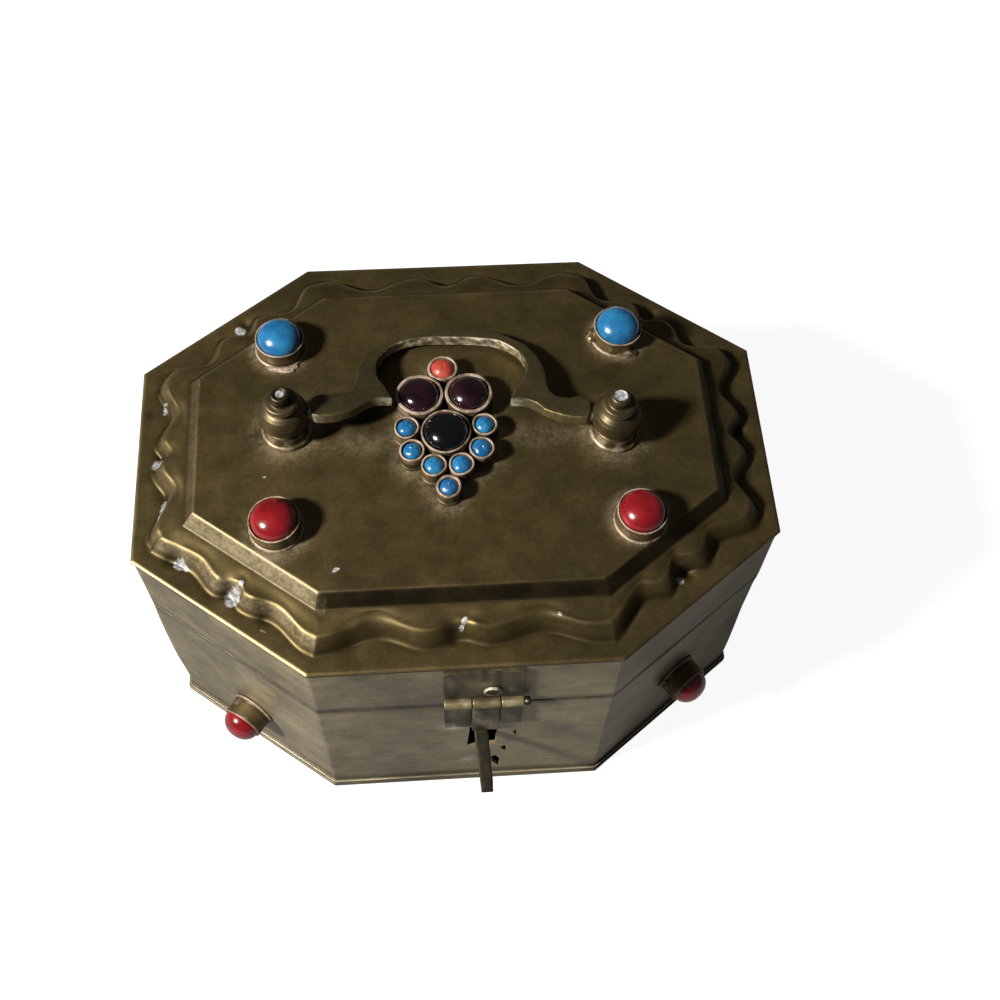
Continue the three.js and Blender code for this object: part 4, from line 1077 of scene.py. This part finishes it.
def build_hasp(finish):
    """The fixed leaf with its knuckles and tabs, the hanging tongue, the pin and the rivet."""
    low, high = node_box("hasp_leaf")
    left, right = low[0], high[0]
    tongue_low, tongue_high = node_box("hasp_tongue")
    pin_low, pin_high = node_box("hasp_pin")
    pin = (pin_low + pin_high) / 2
    leaf_face = WALL_FRONT - LEAF_SHEET
    tab_back = WALL_FRONT - REST_GAP
    tab_face = tab_back - LEAF_SHEET
    leaf_edge = pin[2] + KNUCKLE_ROOM
    ends = [(left, tongue_low[0] - RUN_FIT, LEFT_TAB_LENGTH), (tongue_high[0] + RUN_FIT, right, RIGHT_TAB_LENGTH)]
    skins = [slab((left, leaf_face, leaf_edge - 0.1), (right, WALL_FRONT, high[2]), 0.28, 0.06, 41)]
    for index, (start, end, length) in enumerate(ends):
        skins.append(slab((start, leaf_face, pin[2]), (end, WALL_FRONT, leaf_edge + 1.0), 0.2))
        skins.append(tube(KNUCKLE_RADIUS, BARREL_MOUTH, start, end, pin[1], pin[2]))
        skins.append(slab((start, tab_face, pin[2] - length), (end, tab_back, pin[2]), 0.28, 0.09, 43 + index))
    rivet_low, rivet_high = node_box("hasp_rivet")
    centre = ((rivet_low[0] + rivet_high[0]) / 2, (rivet_low[2] + rivet_high[2]) / 2)
    hole = turned([(RIVET_HOLE, -2 * SHEET), (RIVET_HOLE, 2 * SHEET)], along_y(centre[0], WALL_FRONT, centre[1]), 24)

    def plate_paint(points):
        made = fitting_paint(points)
        x, z = points[:, 0], points[:, 2]
        # Painted highlight along the top of the knuckles.
        barrel = bump(z - pin[2] - 0.9, 1.0) * (points[:, 1] < leaf_face + 0.2)
        line = bump(z - high[2] + 2.6 + 0.5 * unevenness(points, 6, 81), 0.5)
        speckles = (x < tongue_low[0]) * (unevenness(points, 1.9, 82) > -0.2)
        foot = bump(z - pin[2] + LEFT_TAB_LENGTH - 0.6, 1.3) * speckles
        made["wear_and_highlight"] = made["wear_and_highlight"] + 0.9 * barrel + 0.5 * line
        made["haze_and_highlight"] = np.maximum.reduce([made["haze_and_highlight"], 0.7 * foot, 0.35 * line])
        # Painted shade in the gaps beside the tabs and the tongue, and under the knuckles.
        side = np.minimum(np.abs(x - left), np.abs(x - tongue_low[0] + RUN_FIT))
        side = np.minimum(side, np.minimum(np.abs(x - right), np.abs(x - tongue_high[0] - RUN_FIT)))
        made["grime_and_shade"] = 0.8 * bump(side, 0.5) * (z < pin[2] - 1.2) + 0.8 * bump(z - pin[2] + 2.0, 0.8)
        return made

    piece("hasp_plate", skins, finish, "lid", ["hasp_leaf"], plate_paint, [hole])

    tongue = [
        tube(KNUCKLE_RADIUS, PIN_RADIUS + PIN_FIT, tongue_low[0], tongue_high[0], pin[1], pin[2]),
        slab((tongue_low[0], tab_face, tongue_low[2]), (tongue_high[0], tab_back, pin[2]), 0.3, 0.1, 47),
    ]

    def tongue_paint(points):
        made = fitting_paint(points)
        down = np.clip((pin[2] - 12 - points[:, 2]) / 6, 0, 1)
        made["haze_and_highlight"] = np.maximum(made["haze_and_highlight"], 0.3 * down * (unevenness(points, 4, 79) > -0.2))
        # Painted highlight along the top of the knuckle and painted shade under it.
        made["wear_and_highlight"] = made["wear_and_highlight"] + 0.8 * bump(points[:, 2] - pin[2] - 0.9, 1.0)
        made["grime_and_shade"] = 0.7 * bump(points[:, 2] - pin[2] + 2.0, 0.8)
        return made

    piece("tongue", tongue, finish, "hasp", ["hasp_tongue"], tongue_paint)
    head_start = pin_high[0] - PIN_HEAD_LENGTH
    parts = [rod(PIN_RADIUS, left, head_start + 0.3, pin[1], pin[2]),
             rod(PIN_HEAD_RADIUS, head_start, pin_high[0] - 0.02, pin[1], pin[2], 0.45)]

    def pin_paint(points):
        # The pin's head is painted dark as shade, with a small painted glint on it.
        glint = bump(np.linalg.norm(points - (pin_high[0] - 1.2, pin[1] - 0.6, pin[2] + 1.1), axis=1), 0.45)
        return {"grime_and_shade": 1.6 * (points[:, 0] > right - 0.2) - 2 * glint, "haze_and_highlight": 0.8 * glint}

    piece("barrel_pin", parts, finish, "lid", ["hasp_pin"], pin_paint)

    radius = (rivet_high[0] - rivet_low[0]) / 2
    crown = leaf_face - PIN_FIT - rivet_low[1]
    head = [(0.02, 0), (radius, 0), (radius, crown * 0.35), (radius * 0.9, crown), (radius * 0.78, crown * 0.8),
            (radius * 0.6, crown * 0.6), (0.02, crown * 0.7)]
    shank_length = rivet_high[1] - leaf_face
    tail = [(0.02, -shank_length), (radius * 0.8, -shank_length), (radius * 0.8, -shank_length + 0.9),
            (1.25, -shank_length + 0.9), (1.25, 0.2), (0.02, 0.2)]
    foot = along_y(centre[0], leaf_face - PIN_FIT, centre[1])
    skins = [turned(resampled(rounded(head, 0.2, 3), 0.4), foot, 40, wobble=0.1, seed=3),
             turned(resampled(rounded(tail, 0.2, 3), 0.8), foot, 32)]

    def rivet_paint(points):
        angle = np.arctan2(points[:, 2] - centre[1], points[:, 0] - centre[0])
        distance = np.hypot(points[:, 2] - centre[1], points[:, 0] - centre[0])
        # The pale ring round the head is a painted highlight, brightest at the upper left and fading at the lower
        # right.
        arc = np.clip(0.75 + 0.6 * np.cos(angle - 2.4), 0, 1)
        return {"haze_and_highlight": bump(distance - radius * 0.9, 0.4) * arc, "grime_and_shade": 0.5 * bump(distance - radius * 0.55, 0.5)}

    piece("rivet", skins, finish, "lid", ["hasp_rivet"], rivet_paint)


def bar_paint(points):
    """Dark all over, with a few worn patches."""
    return {"grime_and_shade": 0.75 + 0.15 * unevenness(points, 4.0, 83), "wear_and_highlight": 0.1 * (unevenness(points, 2.5, 84) > 0.6)}


def build_latch_bar(finish):
    """A strip bent once: down the inner face of the wall, then out through the slot, falling a little and
    drifting to the right, narrower towards its broken tip."""
    low, high = node_box("latch_bar")
    inner = WALL_FRONT + SHEET
    half = BAR_THICKNESS / 2
    foot_x = low[0] + BAR_WIDTH / 2
    tip_x = high[0] - BAR_WIDTH / 2
    root_z = high[2] - 12.0
    tip = (low[1] + 0.45, low[2] + half + 0.1)
    line = np.array([(inner + half, high[2]), (inner + half, root_z + half + 0.2), tip])
    line = resampled(rounded(line, 2.4, 6), 1.2)
    share = np.clip((inner - line[:, 0]) / (inner - low[1]), 0, 1)
    middle_x = foot_x + (tip_x - foot_x) * share
    width = BAR_WIDTH + (BAR_TIP_WIDTH - BAR_WIDTH) * share
    along = np.gradient(line, axis=0)
    along /= np.linalg.norm(along, axis=1, keepdims=True)
    up = np.stack([0 * share, -along[:, 1], along[:, 0]], -1)
    first = np.stack([middle_x + width / 2, line[:, 0], line[:, 1]], -1)
    second = np.stack([middle_x - width / 2, line[:, 0], line[:, 1]], -1)
    bar = swept(first, second, up, BAR_THICKNESS, 0.35, 0.1, 51)
    piece("bent_bar", [bar], finish, "box", ["latch_bar"], bar_paint)


def build_hinge(finish):
    """The plain back hinge: two leaves with knuckles, and the pin."""
    low, high = node_box("hinge_leaf_lower")
    upper_high = node_box("hinge_leaf_upper")[1]
    pin = node_middle("hinge_pin")
    half = high[0]
    middle = half * 0.4
    bore = PIN_RADIUS + PIN_FIT

    def web(start, end, low_z, high_z, seed):
        return slab((start, WALL_BACK, low_z), (end, WALL_BACK + LEAF_SHEET, high_z), 0.25, 0.05, seed)

    lower = [web(-half, half, low[2], pin[2] - KNUCKLE_ROOM, 61)]
    for start, end in ((-half, -middle - RUN_FIT), (middle + RUN_FIT, half)):
        lower.append(web(start, end, pin[2] - KNUCKLE_ROOM - 1.2, pin[2] - 0.4, 62))
        lower.append(tube(KNUCKLE_RADIUS, bore, start, end, pin[1], pin[2]))
    upper = [
        web(-half, half, pin[2] + KNUCKLE_ROOM, upper_high[2], 63),
        web(-middle, middle, pin[2] + 0.4, pin[2] + KNUCKLE_ROOM + 1.2, 64),
        tube(KNUCKLE_RADIUS, bore, -middle, middle, pin[1], pin[2]),
    ]
    piece("back_leaf_box", lower, finish, "box", ["hinge_leaf_lower"], fitting_paint)
    piece("back_leaf_lid", upper, finish, "lid", ["hinge_leaf_upper"], fitting_paint)
    piece("back_pin", [rod(PIN_RADIUS, -half, half, pin[1], pin[2])], finish, "box", ["hinge_pin"],
          fitting_paint)


# Finishes


def add(tree, kind, inputs=None, **settings):
    """A shader node with its settings and its inputs, which are values or the sockets of other nodes."""
    made = tree.nodes.new(kind)
    for label, value in settings.items():
        setattr(made, label, value)
    for label, value in (inputs or {}).items():
        socket = made.inputs[label]
        if isinstance(value, bpy.types.NodeSocket):
            tree.links.new(value, socket)
        else:
            socket.default_value = value
    return made


def blend(tree, share, first, second, mode="MIX"):
    """Mix of two colours by a share."""
    made = tree.nodes.new("ShaderNodeMix")
    made.data_type = "RGBA"
    made.blend_type = mode
    for index, value in ((0, share), (6, first), (7, second)):
        if isinstance(value, bpy.types.NodeSocket):
            tree.links.new(value, made.inputs[index])
        else:
            made.inputs[index].default_value = value
    return made.outputs[2]


def sums(tree, operation, first, second=0.0, clamp=False):
    """One sum or product of two values."""
    return add(tree, "ShaderNodeMath", {0: first, 1: second}, operation=operation, use_clamp=clamp).outputs[0]


def spread(tree, value, low, high, start=0.0, end=1.0):
    """A value mapped from one range to another."""
    return add(tree, "ShaderNodeMapRange", {
        "Value": value, "From Min": low, "From Max": high, "To Min": start, "To Max": end,
    }, clamp=True).outputs[0]


def noise(tree, vector, scale, detail=4.0, roughness=0.55):
    """Cloudy noise of one scale."""
    return add(tree, "ShaderNodeTexNoise", {
        "Vector": vector, "Scale": scale, "Detail": detail, "Roughness": roughness,
    }).outputs[0]


def attribute(tree, label):
    """A float attribute of the mesh."""
    return add(tree, "ShaderNodeAttribute", attribute_name=label).outputs["Fac"]


def rgb(red, green, blue):
    """A display colour of 0 to 255 as linear light."""
    values = [value / 255 for value in (red, green, blue)]
    linear = [v / 12.92 if v <= 0.04045 else ((v + 0.055) / 1.055) ** 2.4 for v in values]
    return (*linear, 1.0)


def patina_group():
    """Old brass: dark tarnish broken by metal in blotches, drawn-out brushing, pale specks, bright worn edges and
    painted highlights, solder residue, grime and painted shade. Puts out colour, roughness and height."""
    tree = bpy.data.node_groups.new("old_brass", "ShaderNodeTree")
    for label, kind, value in (
        ("Tarnish", "NodeSocketColor", rgb(70, 62, 40)),
        ("Metal", "NodeSocketColor", rgb(110, 98, 62)),
        ("Worn", "NodeSocketColor", rgb(200, 180, 140)),
        ("Residue", "NodeSocketColor", rgb(190, 180, 165)),
        ("Brushing", "NodeSocketVector", (1.0, 1.0, 1.0)),
        ("Brush Strength", "NodeSocketFloat", 0.2),
        ("Speck Size", "NodeSocketFloat", 0.05),
        ("Smooth", "NodeSocketFloat", 0.36),
        ("Rough", "NodeSocketFloat", 0.55),
        ("Metallic", "NodeSocketFloat", 0.9),
    ):
        socket = tree.interface.new_socket(name=label, in_out="INPUT", socket_type=kind)
        socket.default_value = value
    tree.interface.new_socket(name="Color", in_out="OUTPUT", socket_type="NodeSocketColor")
    tree.interface.new_socket(name="Roughness", in_out="OUTPUT", socket_type="NodeSocketFloat")
    tree.interface.new_socket(name="Height", in_out="OUTPUT", socket_type="NodeSocketFloat")
    tree.interface.new_socket(name="Metal Share", in_out="OUTPUT", socket_type="NodeSocketFloat")
    given = tree.nodes.new("NodeGroupInput").outputs
    place = add(tree, "ShaderNodeTexCoord").outputs["Object"]
    broad = noise(tree, place, 34.0, 5.0, 0.6)
    cloudy = noise(tree, place, 120.0, 5.0, 0.6)
    fine = noise(tree, place, 900.0, 4.0, 0.6)
    stretched = add(tree, "ShaderNodeVectorMath", {0: place, 1: given["Brushing"]}, operation="MULTIPLY").outputs[0]
    brush = noise(tree, stretched, 1.0, 5.0, 0.65)
    mottled = sums(tree, "ADD", sums(tree, "MULTIPLY", broad, 0.65), sums(tree, "MULTIPLY", cloudy, 0.35))
    share = spread(tree, mottled, 0.38, 0.62)
    color = blend(tree, share, given["Tarnish"], given["Metal"])
    streak = spread(tree, brush, 0.3, 0.7, -1.0, 1.0)
    streak = sums(tree, "MULTIPLY", streak, given["Brush Strength"])
    lift = sums(tree, "ADD", streak, 1.0)
    grain = spread(tree, fine, 0.3, 0.7, 0.85, 1.15)
    lift = sums(tree, "MULTIPLY", lift, grain)
    color = blend(tree, 1.0, color, add(tree, "ShaderNodeCombineColor", {0: lift, 1: lift, 2: lift}).outputs[0],
                  "MULTIPLY")
    cells = add(tree, "ShaderNodeTexVoronoi", {"Vector": place, "Scale": 240.0, "Randomness": 1.0})
    pick = add(tree, "ShaderNodeSeparateColor", {0: cells.outputs["Color"]}).outputs[0]
    chosen = sums(tree, "GREATER_THAN", pick, 0.9)
    speck_size = sums(tree, "MULTIPLY", given["Speck Size"], sums(tree, "ADD", cloudy, 0.5))
    speck = sums(tree, "LESS_THAN", cells.outputs["Distance"], speck_size)
    speck = sums(tree, "MULTIPLY", speck, chosen)
    color = blend(tree, sums(tree, "MULTIPLY", speck, 0.6), color, given["Residue"])
    # Worn colour, for wear and for painted highlights.
    wear_and_highlight = sums(tree, "MULTIPLY", attribute(tree, "wear_and_highlight"), spread(tree, cloudy, 0.3, 0.7, 0.35, 1.25))
    color = blend(tree, sums(tree, "MULTIPLY", wear_and_highlight, 0.8, True), color, given["Worn"])
    grainy = sums(tree, "ADD", sums(tree, "MULTIPLY", cloudy, 0.5), sums(tree, "MULTIPLY", fine, 0.5))
    # Residue colour, for solder residue and for painted highlights.
    haze_value = sums(tree, "MULTIPLY", attribute(tree, "haze_and_highlight"), 1.15)
    haze_and_highlight = sums(tree, "MULTIPLY", haze_value, spread(tree, grainy, 0.36, 0.6, 0.15, 1.1), True)
    bare_value = sums(tree, "MULTIPLY", attribute(tree, "bare"), 2.0)
    bare = spread(tree, sums(tree, "MULTIPLY", bare_value, grainy), 0.35, 0.6)
    pale = sums(tree, "MAXIMUM", haze_and_highlight, bare)
    metal_share = sums(tree, "SUBTRACT", 1.0, sums(tree, "MULTIPLY", pale, 0.7))
    metal_share = sums(tree, "MULTIPLY", metal_share, given["Metallic"])
    color = blend(tree, pale, color, given["Residue"])
    bright = blend(tree, spread(tree, fine, 0.35, 0.65), rgb(96, 92, 84), rgb(176, 180, 184))
    color = blend(tree, bare, color, bright)
    # Near black, for grime and for painted shade.
    dirt_and_shade = sums(tree, "MULTIPLY", attribute(tree, "grime_and_shade"), spread(tree, cloudy, 0.25, 0.6, 0.4, 1.0), True)
    color = blend(tree, sums(tree, "MULTIPLY", dirt_and_shade, 0.85), color, rgb(16, 13, 8))
    rough_range = sums(tree, "SUBTRACT", given["Rough"], given["Smooth"])
    roughness = sums(tree, "ADD", given["Smooth"], sums(tree, "MULTIPLY", rough_range, cloudy))
    roughness = sums(tree, "ADD", roughness, sums(tree, "MULTIPLY", haze_and_highlight, 0.16), True)
    height = sums(tree, "ADD", sums(tree, "MULTIPLY", fine, 0.25), sums(tree, "MULTIPLY", brush, 0.5))
    height = sums(tree, "ADD", height, sums(tree, "MULTIPLY", haze_and_highlight, sums(tree, "MULTIPLY", fine, 1.4)))
    height = sums(tree, "ADD", height, sums(tree, "MULTIPLY", cloudy, 0.7))
    add(tree, "NodeGroupOutput", {
        "Color": color, "Roughness": roughness, "Height": height, "Metal Share": metal_share,
    })
    return tree


def new_finish(name, coat=0.0, coat_roughness=0.05):
    """An empty finish and its Principled shader."""
    finish = bpy.data.materials.new(name)
    finish.use_nodes = True
    tree = finish.node_tree
    tree.nodes.clear()
    shader = add(tree, "ShaderNodeBsdfPrincipled", {
        "Coat Weight": coat, "Coat Roughness": coat_roughness,
    })
    add(tree, "ShaderNodeOutputMaterial", {"Surface": shader.outputs["BSDF"]})
    return finish, tree, shader


def brass(name, group, relief_mm, **values):
    """Old brass with the group's colour, roughness, metal share and height."""
    finish, tree, shader = new_finish(name)
    made = add(tree, "ShaderNodeGroup", node_tree=group)
    for label, value in values.items():
        made.inputs[label.replace("_", " ").title()].default_value = value
    relief = add(tree, "ShaderNodeBump", {
        "Height": made.outputs["Height"], "Distance": relief_mm * MM, "Strength": 1.0,
    })
    tree.links.new(made.outputs["Color"], shader.inputs["Base Color"])
    tree.links.new(made.outputs["Roughness"], shader.inputs["Roughness"])
    tree.links.new(made.outputs["Metal Share"], shader.inputs["Metallic"])
    tree.links.new(relief.outputs["Normal"], shader.inputs["Normal"])
    return finish


def stone(name, dark, light, scale, roughness, vein=None):
    """A polished opaque stone, cloudy between two colours, with an optional curved vein."""
    finish, tree, shader = new_finish(name, coat=0.6)
    place = add(tree, "ShaderNodeTexCoord").outputs["Object"]
    cloud = noise(tree, place, scale, 4.0, 0.6)
    color = blend(tree, spread(tree, cloud, 0.35, 0.65), dark, light)
    if vein:
        bands = add(tree, "ShaderNodeTexWave", {
            "Vector": place, "Scale": 38.0, "Distortion": 6.0, "Detail": 2.0, "Detail Scale": 1.5,
        }).outputs[0]
        color = blend(tree, spread(tree, bands, 0.82, 0.99, 0.0, 0.75), color, vein)
    pits = noise(tree, place, 1400.0, 3.0, 0.5)
    relief = add(tree, "ShaderNodeBump", {"Height": pits, "Distance": 0.00002, "Strength": 1.0})
    tree.links.new(color, shader.inputs["Base Color"])
    tree.links.new(spread(tree, cloud, 0.3, 0.7, roughness, roughness + 0.1), shader.inputs["Roughness"])
    tree.links.new(relief.outputs["Normal"], shader.inputs["Normal"])
    return finish


def make_finishes():
    """All finishes. The brasses share one group and differ in their colours, brushing and roughness."""
    group = patina_group()
    lid = brass("lid_patina", group, 0.05, metallic=0.9, tarnish=rgb(76, 66, 40), metal=rgb(96, 82, 50),
                worn=rgb(176, 154, 116), residue=rgb(150, 138, 116), brushing=(60.0, 300.0, 60.0),
                brush_strength=0.08, smooth=0.4, rough=0.56)
    walls = brass("wall_patina", group, 0.05, metallic=0.55, tarnish=rgb(92, 84, 66), metal=rgb(136, 125, 98),
                  worn=rgb(190, 180, 156), residue=rgb(176, 168, 152), brushing=(24.0, 24.0, 700.0),
                  brush_strength=0.16, smooth=0.34, rough=0.54)
    fitting = brass("fitting_patina", group, 0.08, metallic=0.7, tarnish=rgb(38, 34, 22), metal=rgb(54, 48, 32),
                    worn=rgb(150, 136, 100), residue=rgb(170, 160, 138), brushing=(40.0, 40.0, 420.0),
                    brush_strength=0.15, smooth=0.4, rough=0.6)
    sawn = brass("sawn_patina", group, 0.07, metallic=0.8, tarnish=rgb(66, 59, 38), metal=rgb(88, 78, 50),
                 worn=rgb(150, 132, 96), residue=rgb(196, 188, 168), brushing=(90.0, 260.0, 90.0),
                 brush_strength=0.08, smooth=0.42, rough=0.56)
    lathe = brass("turned_patina", group, 0.06, metallic=0.8, tarnish=rgb(54, 46, 31), metal=rgb(84, 72, 48),
                  worn=rgb(170, 148, 112), residue=rgb(186, 170, 150), brushing=(20.0, 20.0, 900.0),
                  brush_strength=0.25, smooth=0.36, rough=0.52)
    cups = brass("cup_patina", group, 0.08, metallic=0.75, tarnish=rgb(84, 72, 48), metal=rgb(112, 96, 64),
                 worn=rgb(180, 160, 132), residue=rgb(150, 132, 120), brushing=(30.0, 30.0, 300.0),
                 brush_strength=0.1, smooth=0.38, rough=0.56)
    stones = {
        "turquoise_stone": stone("turquoise", rgb(14, 68, 108), rgb(30, 98, 138), 160.0, 0.2),
        "red_stone": stone("red_stone_polish", rgb(86, 8, 12), rgb(116, 15, 21), 150.0, 0.16),
        "coral_stone": stone("coral", rgb(130, 38, 27), rgb(152, 62, 46), 420.0, 0.34),
        "garnet_glass": stone("garnet", rgb(9, 2, 4), rgb(30, 7, 13), 180.0, 0.12),
        "black_stone": stone("black_polish", rgb(2, 2, 4), rgb(4, 5, 7), 120.0, 0.1),
        "tip_stone": stone("tip_blue", rgb(14, 56, 96), rgb(28, 82, 128), 260.0, 0.22),
    }
    return lid, walls, fitting, sawn, lathe, cups, stones


# Stage

FLOOR_SHADE = 0.14
FLOOR_SEEN = 0.93
FLOOR_GLOW = 0.1
FLOOR_REACH = 3000
WORLD_STRENGTH = 0.075


def build_floor():
    """A pale floor that is near white to the camera and throws little light back."""
    points = np.array([[-1, -1, 0], [1, -1, 0], [1, 1, 0], [-1, 1, 0]]) * (FLOOR_REACH * MM)
    mesh = bpy.data.meshes.new("floor")
    mesh.from_pydata(points.tolist(), [], [[0, 1, 2, 3]])
    floor = bpy.data.objects.new("floor", mesh)
    bpy.context.scene.collection.objects.link(floor)
    finish, tree, shader = new_finish("pale_floor")
    shader.inputs["Base Color"].default_value = (FLOOR_SHADE, FLOOR_SHADE, FLOOR_SHADE, 1)
    shader.inputs["Roughness"].default_value = 1.0
    shader.inputs["Specular IOR Level"].default_value = 0.0
    shader.inputs["Emission Color"].default_value = (1, 1, 1, 1)
    seen = add(tree, "ShaderNodeLightPath").outputs["Is Camera Ray"]
    tree.links.new(spread(tree, seen, 0.0, 1.0, FLOOR_GLOW, FLOOR_SEEN), shader.inputs["Emission Strength"])
    mesh.materials.append(finish)


def area_light(name, place, aim, size, power, color=(1, 1, 1)):
    """A round lamp that looks at a point."""
    data = bpy.data.lights.new(name, "AREA")
    data.shape = "DISK"
    data.size = size
    data.energy = power
    data.color = color
    light = bpy.data.objects.new(name, data)
    light.location = place
    light.rotation_mode = "QUATERNION"
    light.rotation_quaternion = (Vector(aim) - Vector(place)).to_track_quat("-Z", "Y")
    bpy.context.scene.collection.objects.link(light)


def build_lights():
    """One small lamp at the upper left and a faint even world, as in the photo."""
    world = bpy.data.worlds.new("studio")
    world.use_nodes = True
    sky = world.node_tree.nodes["Background"]
    sky.inputs["Color"].default_value = (0.92, 0.96, 1.0, 1)
    sky.inputs["Strength"].default_value = WORLD_STRENGTH
    bpy.context.scene.world = world
    area_light("key", (-1.05, -0.405, 1.05), (0, 0, 0.06), 0.2, 66, (1, 0.97, 0.92))


def build_camera():
    """The camera fitted to the photo."""
    data = bpy.data.cameras.new("camera")
    data.lens = CAMERA_LENS
    data.sensor_width = 36
    data.shift_x = CAMERA_SHIFT
    data.clip_start = 0.01
    camera = bpy.data.objects.new("camera", data)
    place = Vector(CAMERA_PLACE) * MM
    forward = (Vector(CAMERA_AIM) * MM - place).normalized()
    level = forward.cross(Vector((0, 0, 1))).normalized()
    upright = level.cross(forward)
    roll = math.radians(CAMERA_ROLL)
    right = level * math.cos(roll) + upright * math.sin(roll)
    up = right.cross(forward)
    turn = Matrix((right, up, -forward)).transposed().to_4x4()
    camera.matrix_world = Matrix.Translation(place) @ turn
    bpy.context.scene.collection.objects.link(camera)
    bpy.context.scene.camera = camera


build_camera()
build_lights()
build_floor()
bpy.context.scene.view_settings.view_transform = "Standard"

lid_finish, wall_finish, fitting_finish, sawn_finish, lathe_finish, cup_finish, stone_finishes = make_finishes()
build_lid(lid_finish)
build_walls(wall_finish)
build_lid_cups(cup_finish, stone_finishes)
build_side_cups(cup_finish, stone_finishes)
build_cluster(cup_finish, stone_finishes)
build_posts(lathe_finish)
build_handle(sawn_finish)
build_hasp(fitting_finish)
build_latch_bar(fitting_finish)
build_hinge(fitting_finish)
